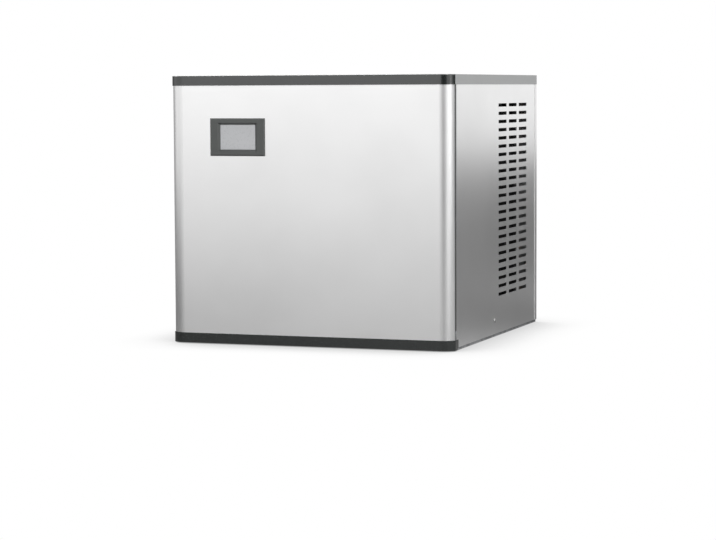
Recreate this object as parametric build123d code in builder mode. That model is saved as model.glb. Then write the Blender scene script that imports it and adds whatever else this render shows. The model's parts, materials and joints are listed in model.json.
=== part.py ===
from build123d import *
import os
from math import cos, radians, sin

# Modular ice machine head: cabinet, ice making compartment, cooling circuit and controls.
# Millimetres. +X is to the right, the front faces -Y, +Z is up.
# The origin is the middle of the footprint, on the surface that the machine stands on.

os.makedirs("parts", exist_ok=True)

# Overall size of the cabinet, trims included
width = 560.0
depth = 580.0
height = 505.0
fitting_reach = 22.0

# Sheet metal, and the small gaps between neighbours
sheet = 1.0
base_sheet = 1.5
seat = 0.2
body_gap = 0.4
running = 0.06

# Front panel and its two moulded trims
trim_proud = 1.5
bezel_proud = 3.0
front_y = -(depth + fitting_reach - (bezel_proud - trim_proud)) / 2
rear_y = front_y + depth
roll_radius = 30.0
roll_turn = 55.0
bend_radius = 2.5
trim_plate = 2.5
top_trim_height = 18.5
bottom_trim_height = 20.0
trim_floor_gap = 1.0
front_depth = 16.0
trim_leg = 33.0
trim_toe = 8.0
trim_edge = 1.2
panel_return = 10.0
panel_half = width / 2 - trim_proud
panel_face = front_y + trim_proud
panel_inner = panel_face + sheet
panel_back = front_y + front_depth
panel_bottom = trim_floor_gap + trim_plate
panel_top = height - trim_plate

# Display
display_x = -(width / 2 - 138.2)
display_z = 390.1
bezel_width = 110.5
bezel_height = 70.6
bezel_bevel = 2.4
window_width = 79.3
window_height = 53.5
screen_width = 70.2
screen_height = 46.4
screen_depth = 4.2
screen_thickness = 2.0
board_width = 92.0
board_height = 60.0
board_thickness = 1.6
bezel_front = panel_face - bezel_proud
bezel_boss = 5.0
boss_width = screen_width + 6.0
boss_height = screen_height + 6.0

# Cabinet planes
cover_inset = 1.0
cover_half = width / 2 - cover_inset
side_half = cover_half - sheet
post_half = side_half - sheet
post_depth = 11.6
post_width = 24.0
top_rail = 22.0
cabinet_front = panel_back + body_gap
side_front = cabinet_front + post_depth
side_clearance = 5.0
side_flange = 12.0
rear_flange = 12.0
rear_inner = rear_y - sheet
cover_bottom = height - top_trim_height
cover_under = height - sheet
edge_round = 0.8
frame_top = cover_bottom - seat

# Base pan
base_height = 36.0
base_flange = 25.0
bolt_radius = 4.5
bolt_x = post_half - base_flange / 2
bolt_y = 240.0

# Snap studs that hold the front panel
stud_radius = 3.0
stud_length = 10.0
stud_clearance = 0.4
stud_x = panel_half - sheet - panel_return / 2
stud_low = 70.0
stud_high = 440.0

# Air slots in the right side panel
slot_rows = 24
slot_columns = 3
slot_length = 56.5
slot_height = 6.5
slot_pitch_y = 72.3
slot_pitch_z = 15.95
slot_first_y = 331.5
slot_first_z = 79.7

# Outlet slots in the rear panel
outlet_rows = 18
outlet_columns = 2
outlet_length = 92.0
outlet_pitch_x = 110.0
outlet_x = 40.0
outlet_z = 310.0

# Ice making compartment
liner_wall = 14.0
liner_left = -(post_half - post_width - 0.5)
machine_bay = 112.0
liner_right = post_half - machine_bay
liner_depth = 256.0
gasket_depth = 4.0
gasket_width = 8.0
liner_front = cabinet_front + gasket_depth
liner_back = liner_front + liner_depth
liner_top = frame_top - top_rail - seat
liner_floor = base_height + liner_wall
liner_ceiling = liner_top - liner_wall
liner_inner_left = liner_left + liner_wall
liner_inner_right = liner_right - liner_wall
liner_inner_back = liner_back - liner_wall
liner_round = 6.0
drop_left = liner_inner_left + 6.5
drop_depth = 104.0
lining_margin = 6.0

# Evaporator: a grid of cells that face the front
cell_pitch = 27.0
cell_wall = 1.6
cell_depth = 22.0
cell_back = 1.8
cell_slope = 12.0
plate_left = liner_inner_left + 17.0
plate_bottom = 172.0
pump_bay = 73.0
tube_bay = 33.0
cell_columns = int((liner_inner_right - pump_bay - plate_left) // cell_pitch)
cell_rows = int((liner_ceiling - tube_bay - plate_bottom) // cell_pitch)
plate_gap = 22.0
plate_width = cell_columns * cell_pitch + cell_wall
plate_height = cell_rows * cell_pitch + cell_wall
plate_right = plate_left + plate_width
drop_right = plate_right + 22.9
plate_rear = liner_inner_back - plate_gap
plate_front = plate_rear - cell_depth - cell_back
coil_width = 10.0
coil_depth = 7.0
coil_bend = 13.0
coil_margin = 12.0
coil_rear = plate_rear + seat + coil_depth
coil_inlet_x = plate_right - 30.0
coil_start_y = liner_back + 24.0
coil_outlet_x = plate_left + coil_margin + coil_width
coil_outlet_z = plate_bottom + cell_pitch * (cell_rows - 0.5)

# Rails, curtain and water tube
rail_thickness = 8.0
rail_bottom = 160.0
ear_reach = 34.0
ear_slope = 28.0
rail_top = liner_ceiling - seat
pin_radius = 3.0
pin_length = 6.5
pin_y = plate_front - 26.0
pin_z = rail_top - 12.0
curtain_wall = 2.0
curtain_gap = 1.5
curtain_flange = 18.0
curtain_bottom = 150.0
curtain_left = plate_left + curtain_gap
curtain_right = plate_right - curtain_gap
curtain_rib_count = 9
curtain_rib_depth = 3.0
curtain_rib_width = 3.0
magnet_size = 10.0
magnet_thickness = 3.0
tube_radius = 9.0
tube_bore = 6.5
tube_y = plate_front + 6.0
tube_z = plate_bottom + plate_height + tube_radius + 1.0
tube_hole = 1.6
tube_overhang = 12.0

# Trough, cube guide, pump and float
trough_wall = 2.5
trough_left = liner_inner_left + 9.5
trough_right = liner_inner_right - 5.0
trough_depth = 103.95
trough_height = 52.0
trough_rear = liner_inner_back - seat
trough_front = trough_rear - trough_depth
trough_bottom = liner_floor + seat
trough_top = trough_bottom + trough_height
guide_back = liner_inner_back - 22.15
guide_rise = 56.0
guide_front = guide_back - 88.0
drop_front = guide_front - 108.0
guide_lip = 5.0
guide_thickness = 5.0
guide_bar_count = 15
guide_bar_gap = 15.0
guide_cheek = 3.0
pump_x = liner_inner_right - 33.0
pump_y = liner_inner_back - 74.15
pump_plate = 2.5
pump_column = 8.0
pump_collar = 24.0
pump_collar_height = 30.0
motor_radius = 27.0
motor_height = 50.0
volute_radius = 20.0
volute_bore = 17.0
volute_low = 8.0
volute_height = 26.0
volute_wall = 2.5
impeller_radius = 14.5
impeller_height = 10.0
impeller_blades = 6
shaft_radius = 2.5
shaft_grip = 14.0
spigot_radius = 5.0
spigot_length = 14.0
spigot_x = pump_x - 12.0
hose_radius = 6.5
float_x = pump_x + 12.0
float_y = pump_y + 50.0
float_radius = 11.0
float_height = 20.0
float_low = 6.0
stem_radius = 2.5
stem_collar = 5.5
pump_plate_left = plate_right + rail_thickness + 3.0
pump_plate_bottom = trough_top + seat
pump_plate_top = pump_plate_bottom + pump_plate
hose_y = float_y - 4.0

# Water and drain fittings at the rear
inlet_x = liner_right - 105.0
inlet_z = 120.0
inlet_radius = 13.2
neck_step = 1.0
neck_reach = 2.0
thread_chamfer = 1.5
inlet_bore = 8.0
valve_width = 34.0
valve_depth = 30.0
solenoid_width = 26.0
solenoid_height = 34.0
fill_radius = 6.0
fill_x = inlet_x - 15.0
drain_x = liner_right - 165.0
drain_z = 66.0
drain_radius = 10.0
drain_step = 0.6
drain_bore = 8.0
dump_width = 32.0
dump_depth = 40.0
dump_y = liner_back + 33.85
gland_x = liner_right - 35.0
gland_z = 110.0
gland_bore = 4.5
gland_radius = 10.0
gland_hex = 12.0

# Compressor
compressor_x = liner_left + 102.5
compressor_y = liner_back + 143.85
compressor_radius = 78.0
compressor_height = 186.0
foot_thickness = 3.0
foot_span = 140.0
foot_reach = 18.0
grommet_height = 12.0
grommet_radius = 11.0
foot_hole = 5.0
stud_bolt = 4.0
compressor_foot = base_height + grommet_height
shell_bottom = compressor_foot + foot_thickness
line_z = 180.0
suction_radius = 5.0
pipe_radius = 4.76

# Condenser, fan and shroud
condenser_x = post_half - 33.0
header_radius = 12.0
header_front = liner_back + 23.85
header_rear = header_front + 200.0
condenser_top = 455.0
flat_tube = 3.0
flat_depth = 24.0
flat_count = 24
flat_first = 66.0
flat_pitch = 16.2
shroud_face = condenser_x - 37.0
shroud_sheet = 1.2
fan_y = (header_front + header_rear) / 2
fan_z = 255.0
fan_radius = 86.0
fan_opening = 91.0
venturi_depth = 12.0
venturi_wall = 1.5
hub_radius = 22.0
hub_depth = 20.0
blade_count = 5
blade_root_chord = 26.0
blade_tip_chord = 44.0
blade_thickness = 2.0
blade_root_pitch = 50.0
blade_tip_pitch = 66.0
fan_motor_radius = 34.0
fan_motor_depth = 44.0
fan_gap = 10.0
fan_shaft = 4.0
arm_thickness = 3.0
arm_width = 12.0
arm_circle = 101.0
arm_count = 4
hub_front = shroud_face - 2.0
hub_back = hub_front - hub_depth
fan_motor_front = hub_back - fan_gap
fan_motor_back = fan_motor_front - fan_motor_depth

# Filter drier and valves on the pipes
drier_radius = 14.0
drier_length = 84.0
drier_cone = 14.0
drier_stub = 8.0
drier_right = shroud_face - 7.0
drier_z = 84.0
expansion_x = liner_right - 81.0
expansion_radius = 12.0
expansion_height = 34.0
gas_x = liner_left + 217.5
gas_y = liner_back + 53.85
gas_z = 300.0
gas_size = 24.0

# Control box
box_left = liner_right + seat
box_width = 84.0
box_front = side_front + 4.0
box_depth = 190.0
box_bottom = 200.0
box_top = 446.0
box_right = box_left + box_width
control_x = (box_left + box_right) / 2
switch_width = 26.0
switch_height = 34.0
switch_depth = 16.0
switch_rim = 2.0
switch_wall = 2.0
switch_z = 410.0
rocker_tilt = 8.0
rocker_pin = 1.5

# Screws
screw_head = 4.2
screw_thick = 1.4
screw_pitch = 250.0


def facing_front(y):
    """Upright plane at depth y, with X to the right and Z up, that faces the front."""
    return Plane.XZ.offset(-y)


def cover_outline(half, face, back, grow):
    """Add half of the front cover's plan and its mirror: back, side, tight bend, wide roll and face."""
    wide = roll_radius + grow
    tight = bend_radius + grow
    bend_x = half - tight
    bend_y = face + wide - (wide - tight) * cos(radians(roll_turn))
    roll_x = bend_x - (wide - tight) * sin(radians(roll_turn))
    with BuildLine() as outline:
        Polyline((0, back), (half, back), (half, bend_y))
        CenterArc((bend_x, bend_y), tight, 0, roll_turn - 90)
        CenterArc((roll_x, face + wide), wide, roll_turn - 90, -roll_turn)
        Line((roll_x, face), (0, face))
        mirror(about=Plane.YZ)
    make_face(outline.edges())


def facing_side(x):
    """Upright plane at x, with Y to the right and Z up, that faces +X."""
    return Plane.YZ.offset(x)


def run_pipe(points, bend, radius):
    """Add a round pipe along straight runs joined by tangent arcs."""
    with BuildLine() as route:
        FilletPolyline(*points, radius=bend)
    with BuildSketch(Plane(origin=route.line @ 0, z_dir=route.line % 0)) as section:
        Circle(radius)
    sweep(section.sketch, path=route.line)


# Front panel: a folded tray with round front corners and narrow return flanges
with BuildPart() as front_panel:
    with BuildSketch(Plane.XY.offset(panel_bottom)):
        cover_outline(panel_half, panel_face, panel_back, 0)
        offset(amount=-sheet, mode=Mode.SUBTRACT)
        with Locations((0, panel_back)):
            Rectangle(2 * (panel_half - sheet - panel_return), 3 * sheet, mode=Mode.SUBTRACT)
    extrude(amount=panel_top - panel_bottom)
    with BuildSketch(facing_front(panel_face)):
        with Locations((display_x, display_z)):
            Rectangle(boss_width + 2 * seat, boss_height + 2 * seat)
    extrude(amount=-sheet, mode=Mode.SUBTRACT)
front_panel.part.label = "front_panel"
export_step(front_panel.part, "parts/front_panel.step")

# Top trim: a moulded cap over the panel's upper edge
with BuildPart() as front_top_trim:
    with BuildSketch(Plane.XY.offset(cover_bottom)):
        cover_outline(width / 2, front_y, panel_back, trim_proud)
    extrude(amount=top_trim_height)
    cap_rim = front_top_trim.faces().sort_by(Axis.Z)[-1].edges()
    fillet(cap_rim.sort_by(Axis.Y)[:-1], trim_edge)
    with BuildSketch(Plane.XY.offset(cover_bottom)):
        cover_outline(panel_half, panel_face, panel_back + sheet, 0)
    extrude(amount=top_trim_height - trim_plate, mode=Mode.SUBTRACT)
front_top_trim.part.label = "front_top_trim"
export_step(front_top_trim.part, "parts/front_top_trim.step")

# Bottom trim: a moulded channel under the panel, with legs along the sides
with BuildPart() as front_bottom_trim:
    with BuildSketch(Plane.XY.offset(trim_floor_gap)):
        cover_outline(width / 2, front_y, front_y + trim_leg, trim_proud)
    extrude(amount=bottom_trim_height - trim_floor_gap)
    toe_edges = front_bottom_trim.edges().filter_by(Axis.X).group_by(Axis.Y)[-1]
    fillet(toe_edges.sort_by(Axis.Z)[0], trim_toe)
    with BuildSketch(Plane.XY.offset(panel_bottom)):
        cover_outline(panel_half, panel_face, panel_face + trim_leg, 0)
    extrude(amount=bottom_trim_height, mode=Mode.SUBTRACT)
    with BuildSketch():
        with Locations((0, panel_back)):
            Rectangle(2 * panel_half, trim_leg, align=(Align.CENTER, Align.MIN))
    extrude(amount=bottom_trim_height, mode=Mode.SUBTRACT)
front_bottom_trim.part.label = "front_bottom_trim"
export_step(front_bottom_trim.part, "parts/front_bottom_trim.step")

# Display bezel: bevelled frame whose boss passes through the panel
with BuildPart() as display_bezel:
    with BuildSketch(facing_front(panel_face)):
        with Locations((display_x, display_z)):
            Rectangle(bezel_width, bezel_height)
    extrude(amount=bezel_proud)
    chamfer(display_bezel.faces().sort_by(Axis.Y)[0].edges(), bezel_bevel)
    with BuildSketch(facing_front(panel_face)):
        with Locations((display_x, display_z)):
            Rectangle(boss_width, boss_height)
    extrude(amount=-bezel_boss)
    with BuildSketch(facing_front(bezel_front)):
        with Locations((display_x, display_z)):
            Rectangle(window_width, window_height)
    with BuildSketch(facing_front(bezel_front + screen_depth)):
        with Locations((display_x, display_z)):
            Rectangle(screen_width + 2 * seat, screen_height + 2 * seat)
    loft(mode=Mode.SUBTRACT)
    with BuildSketch(facing_front(bezel_front + screen_depth)):
        with Locations((display_x, display_z)):
            Rectangle(screen_width + 2 * seat, screen_height + 2 * seat)
    extrude(amount=-(bezel_proud + bezel_boss), mode=Mode.SUBTRACT)
display_bezel.part.label = "display_bezel"
export_step(display_bezel.part, "parts/display_bezel.step")

# Display screen: flat window set in the bezel
with BuildPart() as display_screen:
    with BuildSketch(facing_front(bezel_front + screen_depth)):
        with Locations((display_x, display_z)):
            Rectangle(screen_width, screen_height)
    extrude(amount=-screen_thickness)
display_screen.part.label = "display_screen"
export_step(display_screen.part, "parts/display_screen.step")

# Display board: circuit board behind the bezel, with one connector
board_front = panel_face + bezel_boss + seat
board_back = board_front + board_thickness
with BuildPart() as display_board:
    with BuildSketch(facing_front(board_front)):
        with Locations((display_x, display_z)):
            Rectangle(board_width, board_height)
    extrude(amount=-board_thickness)
    with BuildSketch(facing_front(board_back)):
        with Locations((display_x + board_width / 4, display_z - board_height / 4)):
            Rectangle(board_width / 4, board_height / 8)
    extrude(amount=-board_thickness)
display_board.part.label = "display_board"
export_step(display_board.part, "parts/display_board.step")

# Panel lining: foam slab that closes the compartment, with a pocket for the display board
lining_left = liner_left + lining_margin
lining_right = liner_right + lining_margin
lining_bottom = base_height + lining_margin
lining_top = liner_top - lining_margin
with BuildPart() as panel_lining:
    with BuildSketch(facing_front(panel_inner)) as lining_face:
        with Locations((lining_left, lining_bottom)):
            Rectangle(lining_right - lining_left, lining_top - lining_bottom, align=Align.MIN)
        fillet(lining_face.vertices(), liner_round)
    extrude(amount=-(panel_back - panel_inner))
    with BuildSketch(facing_front(panel_inner)):
        with Locations((display_x, display_z)):
            Rectangle(board_width + liner_round, board_height + liner_round)
    extrude(amount=-(board_back + 2 * board_thickness - panel_inner), mode=Mode.SUBTRACT)
panel_lining.part.label = "panel_lining"
export_step(panel_lining.part, "parts/panel_lining.step")

# Panel studs: four waisted pins on the return flanges
with BuildPart() as panel_studs:
    with BuildSketch(facing_front(panel_back)):
        with Locations(*[(x, z) for x in (-stud_x, stud_x) for z in (stud_low, stud_high)]):
            Circle(stud_radius)
    extrude(amount=-stud_length)
    chamfer(panel_studs.faces().filter_by(Axis.Y).group_by(Axis.Y)[-1].edges(), stud_radius / 2)
panel_studs.part.label = "panel_studs"
export_step(panel_studs.part, "parts/panel_studs.step")

# Front frame: folded portal of two uprights and a top rail, dark behind the panel's edge
with BuildPart() as front_frame:
    with BuildSketch(facing_front(cabinet_front)) as portal:
        with Locations((0, base_height)):
            Rectangle(2 * post_half, frame_top - base_height, align=(Align.CENTER, Align.MIN))
            Rectangle(
                2 * (post_half - post_width),
                frame_top - base_height - top_rail,
                align=(Align.CENTER, Align.MIN),
                mode=Mode.SUBTRACT,
            )
    extrude(amount=-post_depth)
    with BuildSketch(facing_front(cabinet_front + base_sheet)):
        with Locations((0, base_height)):
            Rectangle(
                2 * (post_half - base_sheet),
                frame_top - base_height - base_sheet,
                align=(Align.CENTER, Align.MIN),
            )
            Rectangle(
                2 * (post_half - post_width + base_sheet),
                frame_top - base_height - top_rail + base_sheet,
                align=(Align.CENTER, Align.MIN),
                mode=Mode.SUBTRACT,
            )
    extrude(amount=-post_depth, mode=Mode.SUBTRACT)
    with BuildSketch(facing_front(cabinet_front)):
        with Locations(*[(x, z) for x in (-stud_x, stud_x) for z in (stud_low, stud_high)]):
            Circle(stud_radius + stud_clearance)
    extrude(amount=-base_sheet, mode=Mode.SUBTRACT)
front_frame.part.label = "front_frame"
export_step(front_frame.part, "parts/front_frame.step")

# Base pan: folded tray, open below, with an inward flange to stand on
base_middle = (cabinet_front + rear_inner) / 2
base_length = rear_inner - cabinet_front
with BuildPart() as base_pan:
    with BuildSketch():
        with Locations((0, base_middle)):
            Rectangle(2 * post_half, base_length)
    extrude(amount=base_height)
    with BuildSketch(Plane.XY.offset(base_sheet)):
        with Locations((0, base_middle)):
            Rectangle(2 * (post_half - base_sheet), base_length - 2 * base_sheet)
    extrude(amount=base_height - 2 * base_sheet, mode=Mode.SUBTRACT)
    with BuildSketch():
        with Locations((0, base_middle)):
            Rectangle(2 * (post_half - base_flange), base_length - 2 * base_flange)
    extrude(amount=base_sheet, mode=Mode.SUBTRACT)
    with BuildSketch():
        with Locations(*[(x, y) for x in (-bolt_x, bolt_x) for y in (-bolt_y, bolt_y)]):
            Circle(bolt_radius)
    extrude(amount=base_sheet, mode=Mode.SUBTRACT)
    with BuildSketch(Plane.XY.offset(base_height)):
        with Locations((drop_left, drop_front)):
            Rectangle(drop_right - drop_left, drop_depth, align=Align.MIN)
    extrude(amount=-base_sheet, mode=Mode.SUBTRACT)
base_pan.part.label = "base_pan"
export_step(base_pan.part, "parts/base_pan.step")

# Side panels: a plate with a front flange above the base and a top flange under the cover
side_length = rear_inner - side_front
slot_y = front_y + slot_first_y + slot_pitch_y * (slot_columns - 1) / 2
slot_z = slot_first_z + slot_pitch_z * (slot_rows - 1) / 2
with BuildPart() as right_side_panel:
    with BuildSketch(Plane.XY.offset(side_clearance)):
        with Locations((side_half, side_front)):
            Rectangle(sheet, side_length, align=(Align.MAX, Align.MIN))
    extrude(amount=cover_under - side_clearance)
    with BuildSketch(Plane.XY.offset(base_height + seat)):
        with Locations((side_half, side_front)):
            Rectangle(side_flange, sheet, align=(Align.MAX, Align.MIN))
    extrude(amount=cover_under - base_height - seat)
    with BuildSketch(Plane.XY.offset(cover_under)):
        with Locations((side_half, side_front)):
            Rectangle(side_flange, side_length, align=(Align.MAX, Align.MIN))
    extrude(amount=-sheet)
    with BuildSketch(facing_side(side_half)):
        with Locations((slot_y, slot_z)):
            with GridLocations(slot_pitch_y, slot_pitch_z, slot_columns, slot_rows):
                Rectangle(slot_length, slot_height)
    extrude(amount=-sheet, mode=Mode.SUBTRACT)
right_side_panel.part.label = "right_side_panel"
export_step(right_side_panel.part, "parts/right_side_panel.step")

with BuildPart() as left_side_panel:
    with BuildSketch(Plane.XY.offset(side_clearance)):
        with Locations((-side_half, side_front)):
            Rectangle(sheet, side_length, align=(Align.MIN, Align.MIN))
    extrude(amount=cover_under - side_clearance)
    with BuildSketch(Plane.XY.offset(base_height + seat)):
        with Locations((-side_half, side_front)):
            Rectangle(side_flange, sheet, align=(Align.MIN, Align.MIN))
    extrude(amount=cover_under - base_height - seat)
    with BuildSketch(Plane.XY.offset(cover_under)):
        with Locations((-side_half, side_front)):
            Rectangle(side_flange, side_length, align=(Align.MIN, Align.MIN))
    extrude(amount=-sheet)
left_side_panel.part.label = "left_side_panel"
export_step(left_side_panel.part, "parts/left_side_panel.step")

# Rear panel: folded forwards round both rear corners, with air slots and fitting holes
with BuildPart() as rear_panel:
    with BuildSketch(Plane.XY.offset(side_clearance)) as rear_plan:
        with Locations((0, rear_y)):
            Rectangle(2 * cover_half, rear_flange, align=(Align.CENTER, Align.MAX))
        with Locations((0, rear_inner)):
            Rectangle(2 * side_half, rear_flange, align=(Align.CENTER, Align.MAX), mode=Mode.SUBTRACT)
        fillet(rear_plan.vertices().group_by(Axis.Y)[-1], edge_round)
    extrude(amount=cover_bottom - seat - side_clearance)
    with BuildSketch(facing_front(rear_y)):
        with Locations((outlet_x, outlet_z)):
            with GridLocations(outlet_pitch_x, slot_pitch_z, outlet_columns, outlet_rows):
                Rectangle(outlet_length, slot_height)
        with Locations((inlet_x, inlet_z)):
            Circle(inlet_radius + seat)
        with Locations((drain_x, drain_z)):
            Circle(drain_radius + seat)
        with Locations((gland_x, gland_z)):
            Circle(gland_radius - 2 + seat)
    extrude(amount=sheet, mode=Mode.SUBTRACT)
rear_panel.part.label = "rear_panel"
export_step(rear_panel.part, "parts/rear_panel.step")

# Top cover: shallow lid with skirts outside the side panels
with BuildPart() as top_cover:
    with BuildSketch(Plane.XY.offset(cover_bottom)):
        with Locations((0, cabinet_front)):
            Rectangle(2 * cover_half, rear_y - cabinet_front, align=(Align.CENTER, Align.MIN))
    extrude(amount=top_trim_height)
    fillet(top_cover.edges().filter_by(Axis.Z), edge_round)
    fillet(top_cover.faces().sort_by(Axis.Z)[-1].edges(), edge_round / 2)
    with BuildSketch(Plane.XY.offset(cover_bottom)):
        with Locations((0, cabinet_front + sheet)):
            Rectangle(2 * side_half, rear_inner - cabinet_front - sheet, align=(Align.CENTER, Align.MIN))
    extrude(amount=top_trim_height - sheet, mode=Mode.SUBTRACT)
top_cover.part.label = "top_cover"
export_step(top_cover.part, "parts/top_cover.step")

# Compartment liner: thick insulated box, open at the front, with the ice drop in its floor
with BuildPart() as compartment_liner:
    with BuildSketch(facing_front(liner_front)):
        with Locations((liner_left, base_height)):
            Rectangle(liner_right - liner_left, liner_top - base_height, align=Align.MIN)
    extrude(amount=-liner_depth)
    with BuildSketch(facing_front(liner_front)) as cavity:
        with Locations((liner_inner_left, liner_floor)):
            Rectangle(liner_inner_right - liner_inner_left, liner_ceiling - liner_floor, align=Align.MIN)
        fillet(cavity.vertices(), liner_round)
    extrude(amount=-(liner_depth - liner_wall), mode=Mode.SUBTRACT)
    with BuildSketch(Plane.XY.offset(base_height)) as drop:
        with Locations((drop_left, drop_front)):
            Rectangle(drop_right - drop_left, drop_depth, align=Align.MIN)
    extrude(amount=liner_wall, mode=Mode.SUBTRACT)
    with BuildSketch(facing_front(liner_inner_back)):
        with Locations((drain_x, drain_z)):
            Circle(drain_radius + seat)
        with Locations((fill_x, inlet_z)):
            Circle(fill_radius + seat)
        with Locations((coil_inlet_x, plate_bottom + cell_pitch / 2)):
            Circle(pipe_radius + seat)
        with Locations((coil_outlet_x, coil_outlet_z)):
            Circle(suction_radius + seat)
    extrude(amount=-liner_wall, mode=Mode.SUBTRACT)
compartment_liner.part.label = "compartment_liner"
export_step(compartment_liner.part, "parts/compartment_liner.step")

# Compartment gasket: soft ring round the mouth of the liner
with BuildPart() as compartment_gasket:
    with BuildSketch(facing_front(liner_front)) as ring:
        with Locations((liner_left + gasket_width / 2, base_height + gasket_width / 2)):
            Rectangle(
                liner_right - liner_left - gasket_width,
                liner_top - base_height - gasket_width,
                align=Align.MIN,
            )
        offset(amount=-gasket_width, mode=Mode.SUBTRACT)
    extrude(amount=gasket_depth)
compartment_gasket.part.label = "compartment_gasket"
export_step(compartment_gasket.part, "parts/compartment_gasket.step")

# Evaporator plate: grid of pockets whose floors slope down to the front
plate_x = (plate_left + plate_right) / 2
plate_z = plate_bottom + plate_height / 2
cell_size = cell_pitch - cell_wall
with BuildPart() as evaporator_plate:
    with BuildSketch(facing_front(plate_rear)):
        with Locations((plate_x, plate_z)):
            Rectangle(plate_width, plate_height)
    extrude(amount=cell_depth + cell_back)
    with BuildSketch(facing_front(plate_rear - cell_back)):
        with Locations((plate_x, plate_z + cell_depth * sin(radians(cell_slope)) / 2)):
            with GridLocations(cell_pitch, cell_pitch, cell_columns, cell_rows):
                Rectangle(cell_size, cell_size - cell_depth * sin(radians(cell_slope)))
    extrude(
        amount=cell_depth,
        dir=(0, -cos(radians(cell_slope)), -sin(radians(cell_slope))),
        mode=Mode.SUBTRACT,
    )
evaporator_plate.part.label = "evaporator_plate"
export_step(evaporator_plate.part, "parts/evaporator_plate.step")

# Evaporator coil: flattened pipe that winds up the back of the plate, a row of cells at a time
coil_left = plate_left + coil_margin
coil_right = plate_right - coil_margin
row_height = [plate_bottom + cell_pitch * (row + 0.5) for row in range(cell_rows)]
winding_points = [(coil_inlet_x + coil_width, row_height[0])]
for row in range(cell_rows - 1):
    turn_x = coil_left if row % 2 == 0 else coil_right
    winding_points += [(turn_x, row_height[row]), (turn_x, row_height[row + 1])]
winding_points += [(coil_left, row_height[-1])]
with BuildPart() as evaporator_coil:
    with BuildSketch(facing_front(coil_rear)):
        with BuildLine():
            FilletPolyline(*winding_points, radius=coil_bend)
        trace(line_width=coil_width)
    extrude(amount=coil_depth)
evaporator_coil.part.label = "evaporator_coil"
export_step(evaporator_coil.part, "parts/evaporator_coil.step")

# Evaporator rails: two side cheeks with ears that carry the curtain and the water tube
rail_places = (plate_left - seat - rail_thickness, plate_right + seat)
with BuildPart() as evaporator_rails:
    for rail_x in rail_places:
        with BuildSketch(facing_side(rail_x)) as cheek:
            with BuildLine():
                Polyline(
                    (liner_inner_back - seat, rail_bottom),
                    (plate_front, rail_bottom),
                    (plate_front, rail_top - ear_slope - ear_reach),
                    (plate_front - ear_reach, rail_top - ear_slope),
                    (plate_front - ear_reach, rail_top),
                    (liner_inner_back - seat, rail_top),
                    close=True,
                )
            make_face()
            fillet(cheek.vertices().group_by(Axis.Y)[0], 4.0)
            with Locations((pin_y, pin_z)):
                Circle(pin_radius + running, mode=Mode.SUBTRACT)
            with Locations((tube_y, tube_z)):
                Circle(tube_radius + seat, mode=Mode.SUBTRACT)
        extrude(amount=rail_thickness)
evaporator_rails.part.label = "evaporator_rails"
export_step(evaporator_rails.part, "parts/evaporator_rails.step")

# Water tube: closed pipe over the plate, one spray hole above each column of cells
tube_left = rail_places[0] + rail_thickness / 2
tube_right = rail_places[1] + rail_thickness + tube_overhang
with BuildPart() as water_tube:
    with BuildSketch(facing_side(tube_left)):
        with Locations((tube_y, tube_z)):
            Circle(tube_radius)
    extrude(amount=tube_right - tube_left)
    with BuildSketch(facing_side(tube_left + curtain_wall)):
        with Locations((tube_y, tube_z)):
            Circle(tube_bore)
    extrude(amount=tube_right - tube_left, mode=Mode.SUBTRACT)
    with BuildSketch(Plane.XY.offset(tube_z)):
        with Locations((plate_x, tube_y)):
            with GridLocations(cell_pitch, cell_pitch, cell_columns, 1):
                Circle(tube_hole)
    extrude(amount=-2 * tube_radius, mode=Mode.SUBTRACT)
water_tube.part.label = "water_tube"
export_step(water_tube.part, "parts/water_tube.step")

# Ice curtain: ribbed moulded flap with side flanges, hung on two pins
curtain_face = pin_y - pin_radius - curtain_wall
curtain_top = pin_z + pin_radius + curtain_wall
curtain_span = curtain_right - curtain_left
rib_pitch = curtain_span / (curtain_rib_count + 1)
with BuildPart() as ice_curtain:
    with BuildSketch(Plane.XY.offset(curtain_bottom)):
        with Locations((curtain_left, curtain_face)):
            Rectangle(curtain_span, curtain_wall, align=Align.MIN)
            Rectangle(curtain_wall, curtain_flange, align=Align.MIN)
        with Locations((curtain_right, curtain_face)):
            Rectangle(curtain_wall, curtain_flange, align=(Align.MAX, Align.MIN))
        with Locations(((curtain_left + curtain_right) / 2, curtain_face)):
            with GridLocations(rib_pitch, rib_pitch, curtain_rib_count, 1):
                Rectangle(curtain_rib_width, curtain_rib_depth, align=(Align.CENTER, Align.MAX))
    extrude(amount=curtain_top - curtain_bottom)
    with BuildSketch(facing_side(curtain_left - pin_length)):
        with Locations((pin_y, pin_z)):
            Circle(pin_radius)
    extrude(amount=pin_length)
    with BuildSketch(facing_side(curtain_right)):
        with Locations((pin_y, pin_z)):
            Circle(pin_radius)
    extrude(amount=pin_length)
ice_curtain.part.label = "ice_curtain"
export_step(ice_curtain.part, "parts/ice_curtain.step")

# Curtain magnet: set in the lower corner of the flap, beside the reed switch on the rail
magnet_x = curtain_right - curtain_wall - magnet_size
magnet_z = rail_bottom + magnet_size
with BuildPart() as curtain_magnet:
    with BuildSketch(facing_front(curtain_face + curtain_wall)):
        with Locations((magnet_x, magnet_z)):
            Circle(magnet_size / 2)
    extrude(amount=-magnet_thickness)
curtain_magnet.part.label = "curtain_magnet"
export_step(curtain_magnet.part, "parts/curtain_magnet.step")

# Reed switch: small block on the outer face of the right rail
with BuildPart() as reed_switch:
    with BuildSketch(facing_side(rail_places[1] + rail_thickness)):
        with Locations((plate_front + magnet_size, magnet_z + magnet_size)):
            Rectangle(magnet_size, 3 * magnet_size)
    extrude(amount=magnet_size / 2)
    fillet(reed_switch.edges().filter_by(Axis.X), 1.0)
reed_switch.part.label = "reed_switch"
export_step(reed_switch.part, "parts/reed_switch.step")

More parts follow.
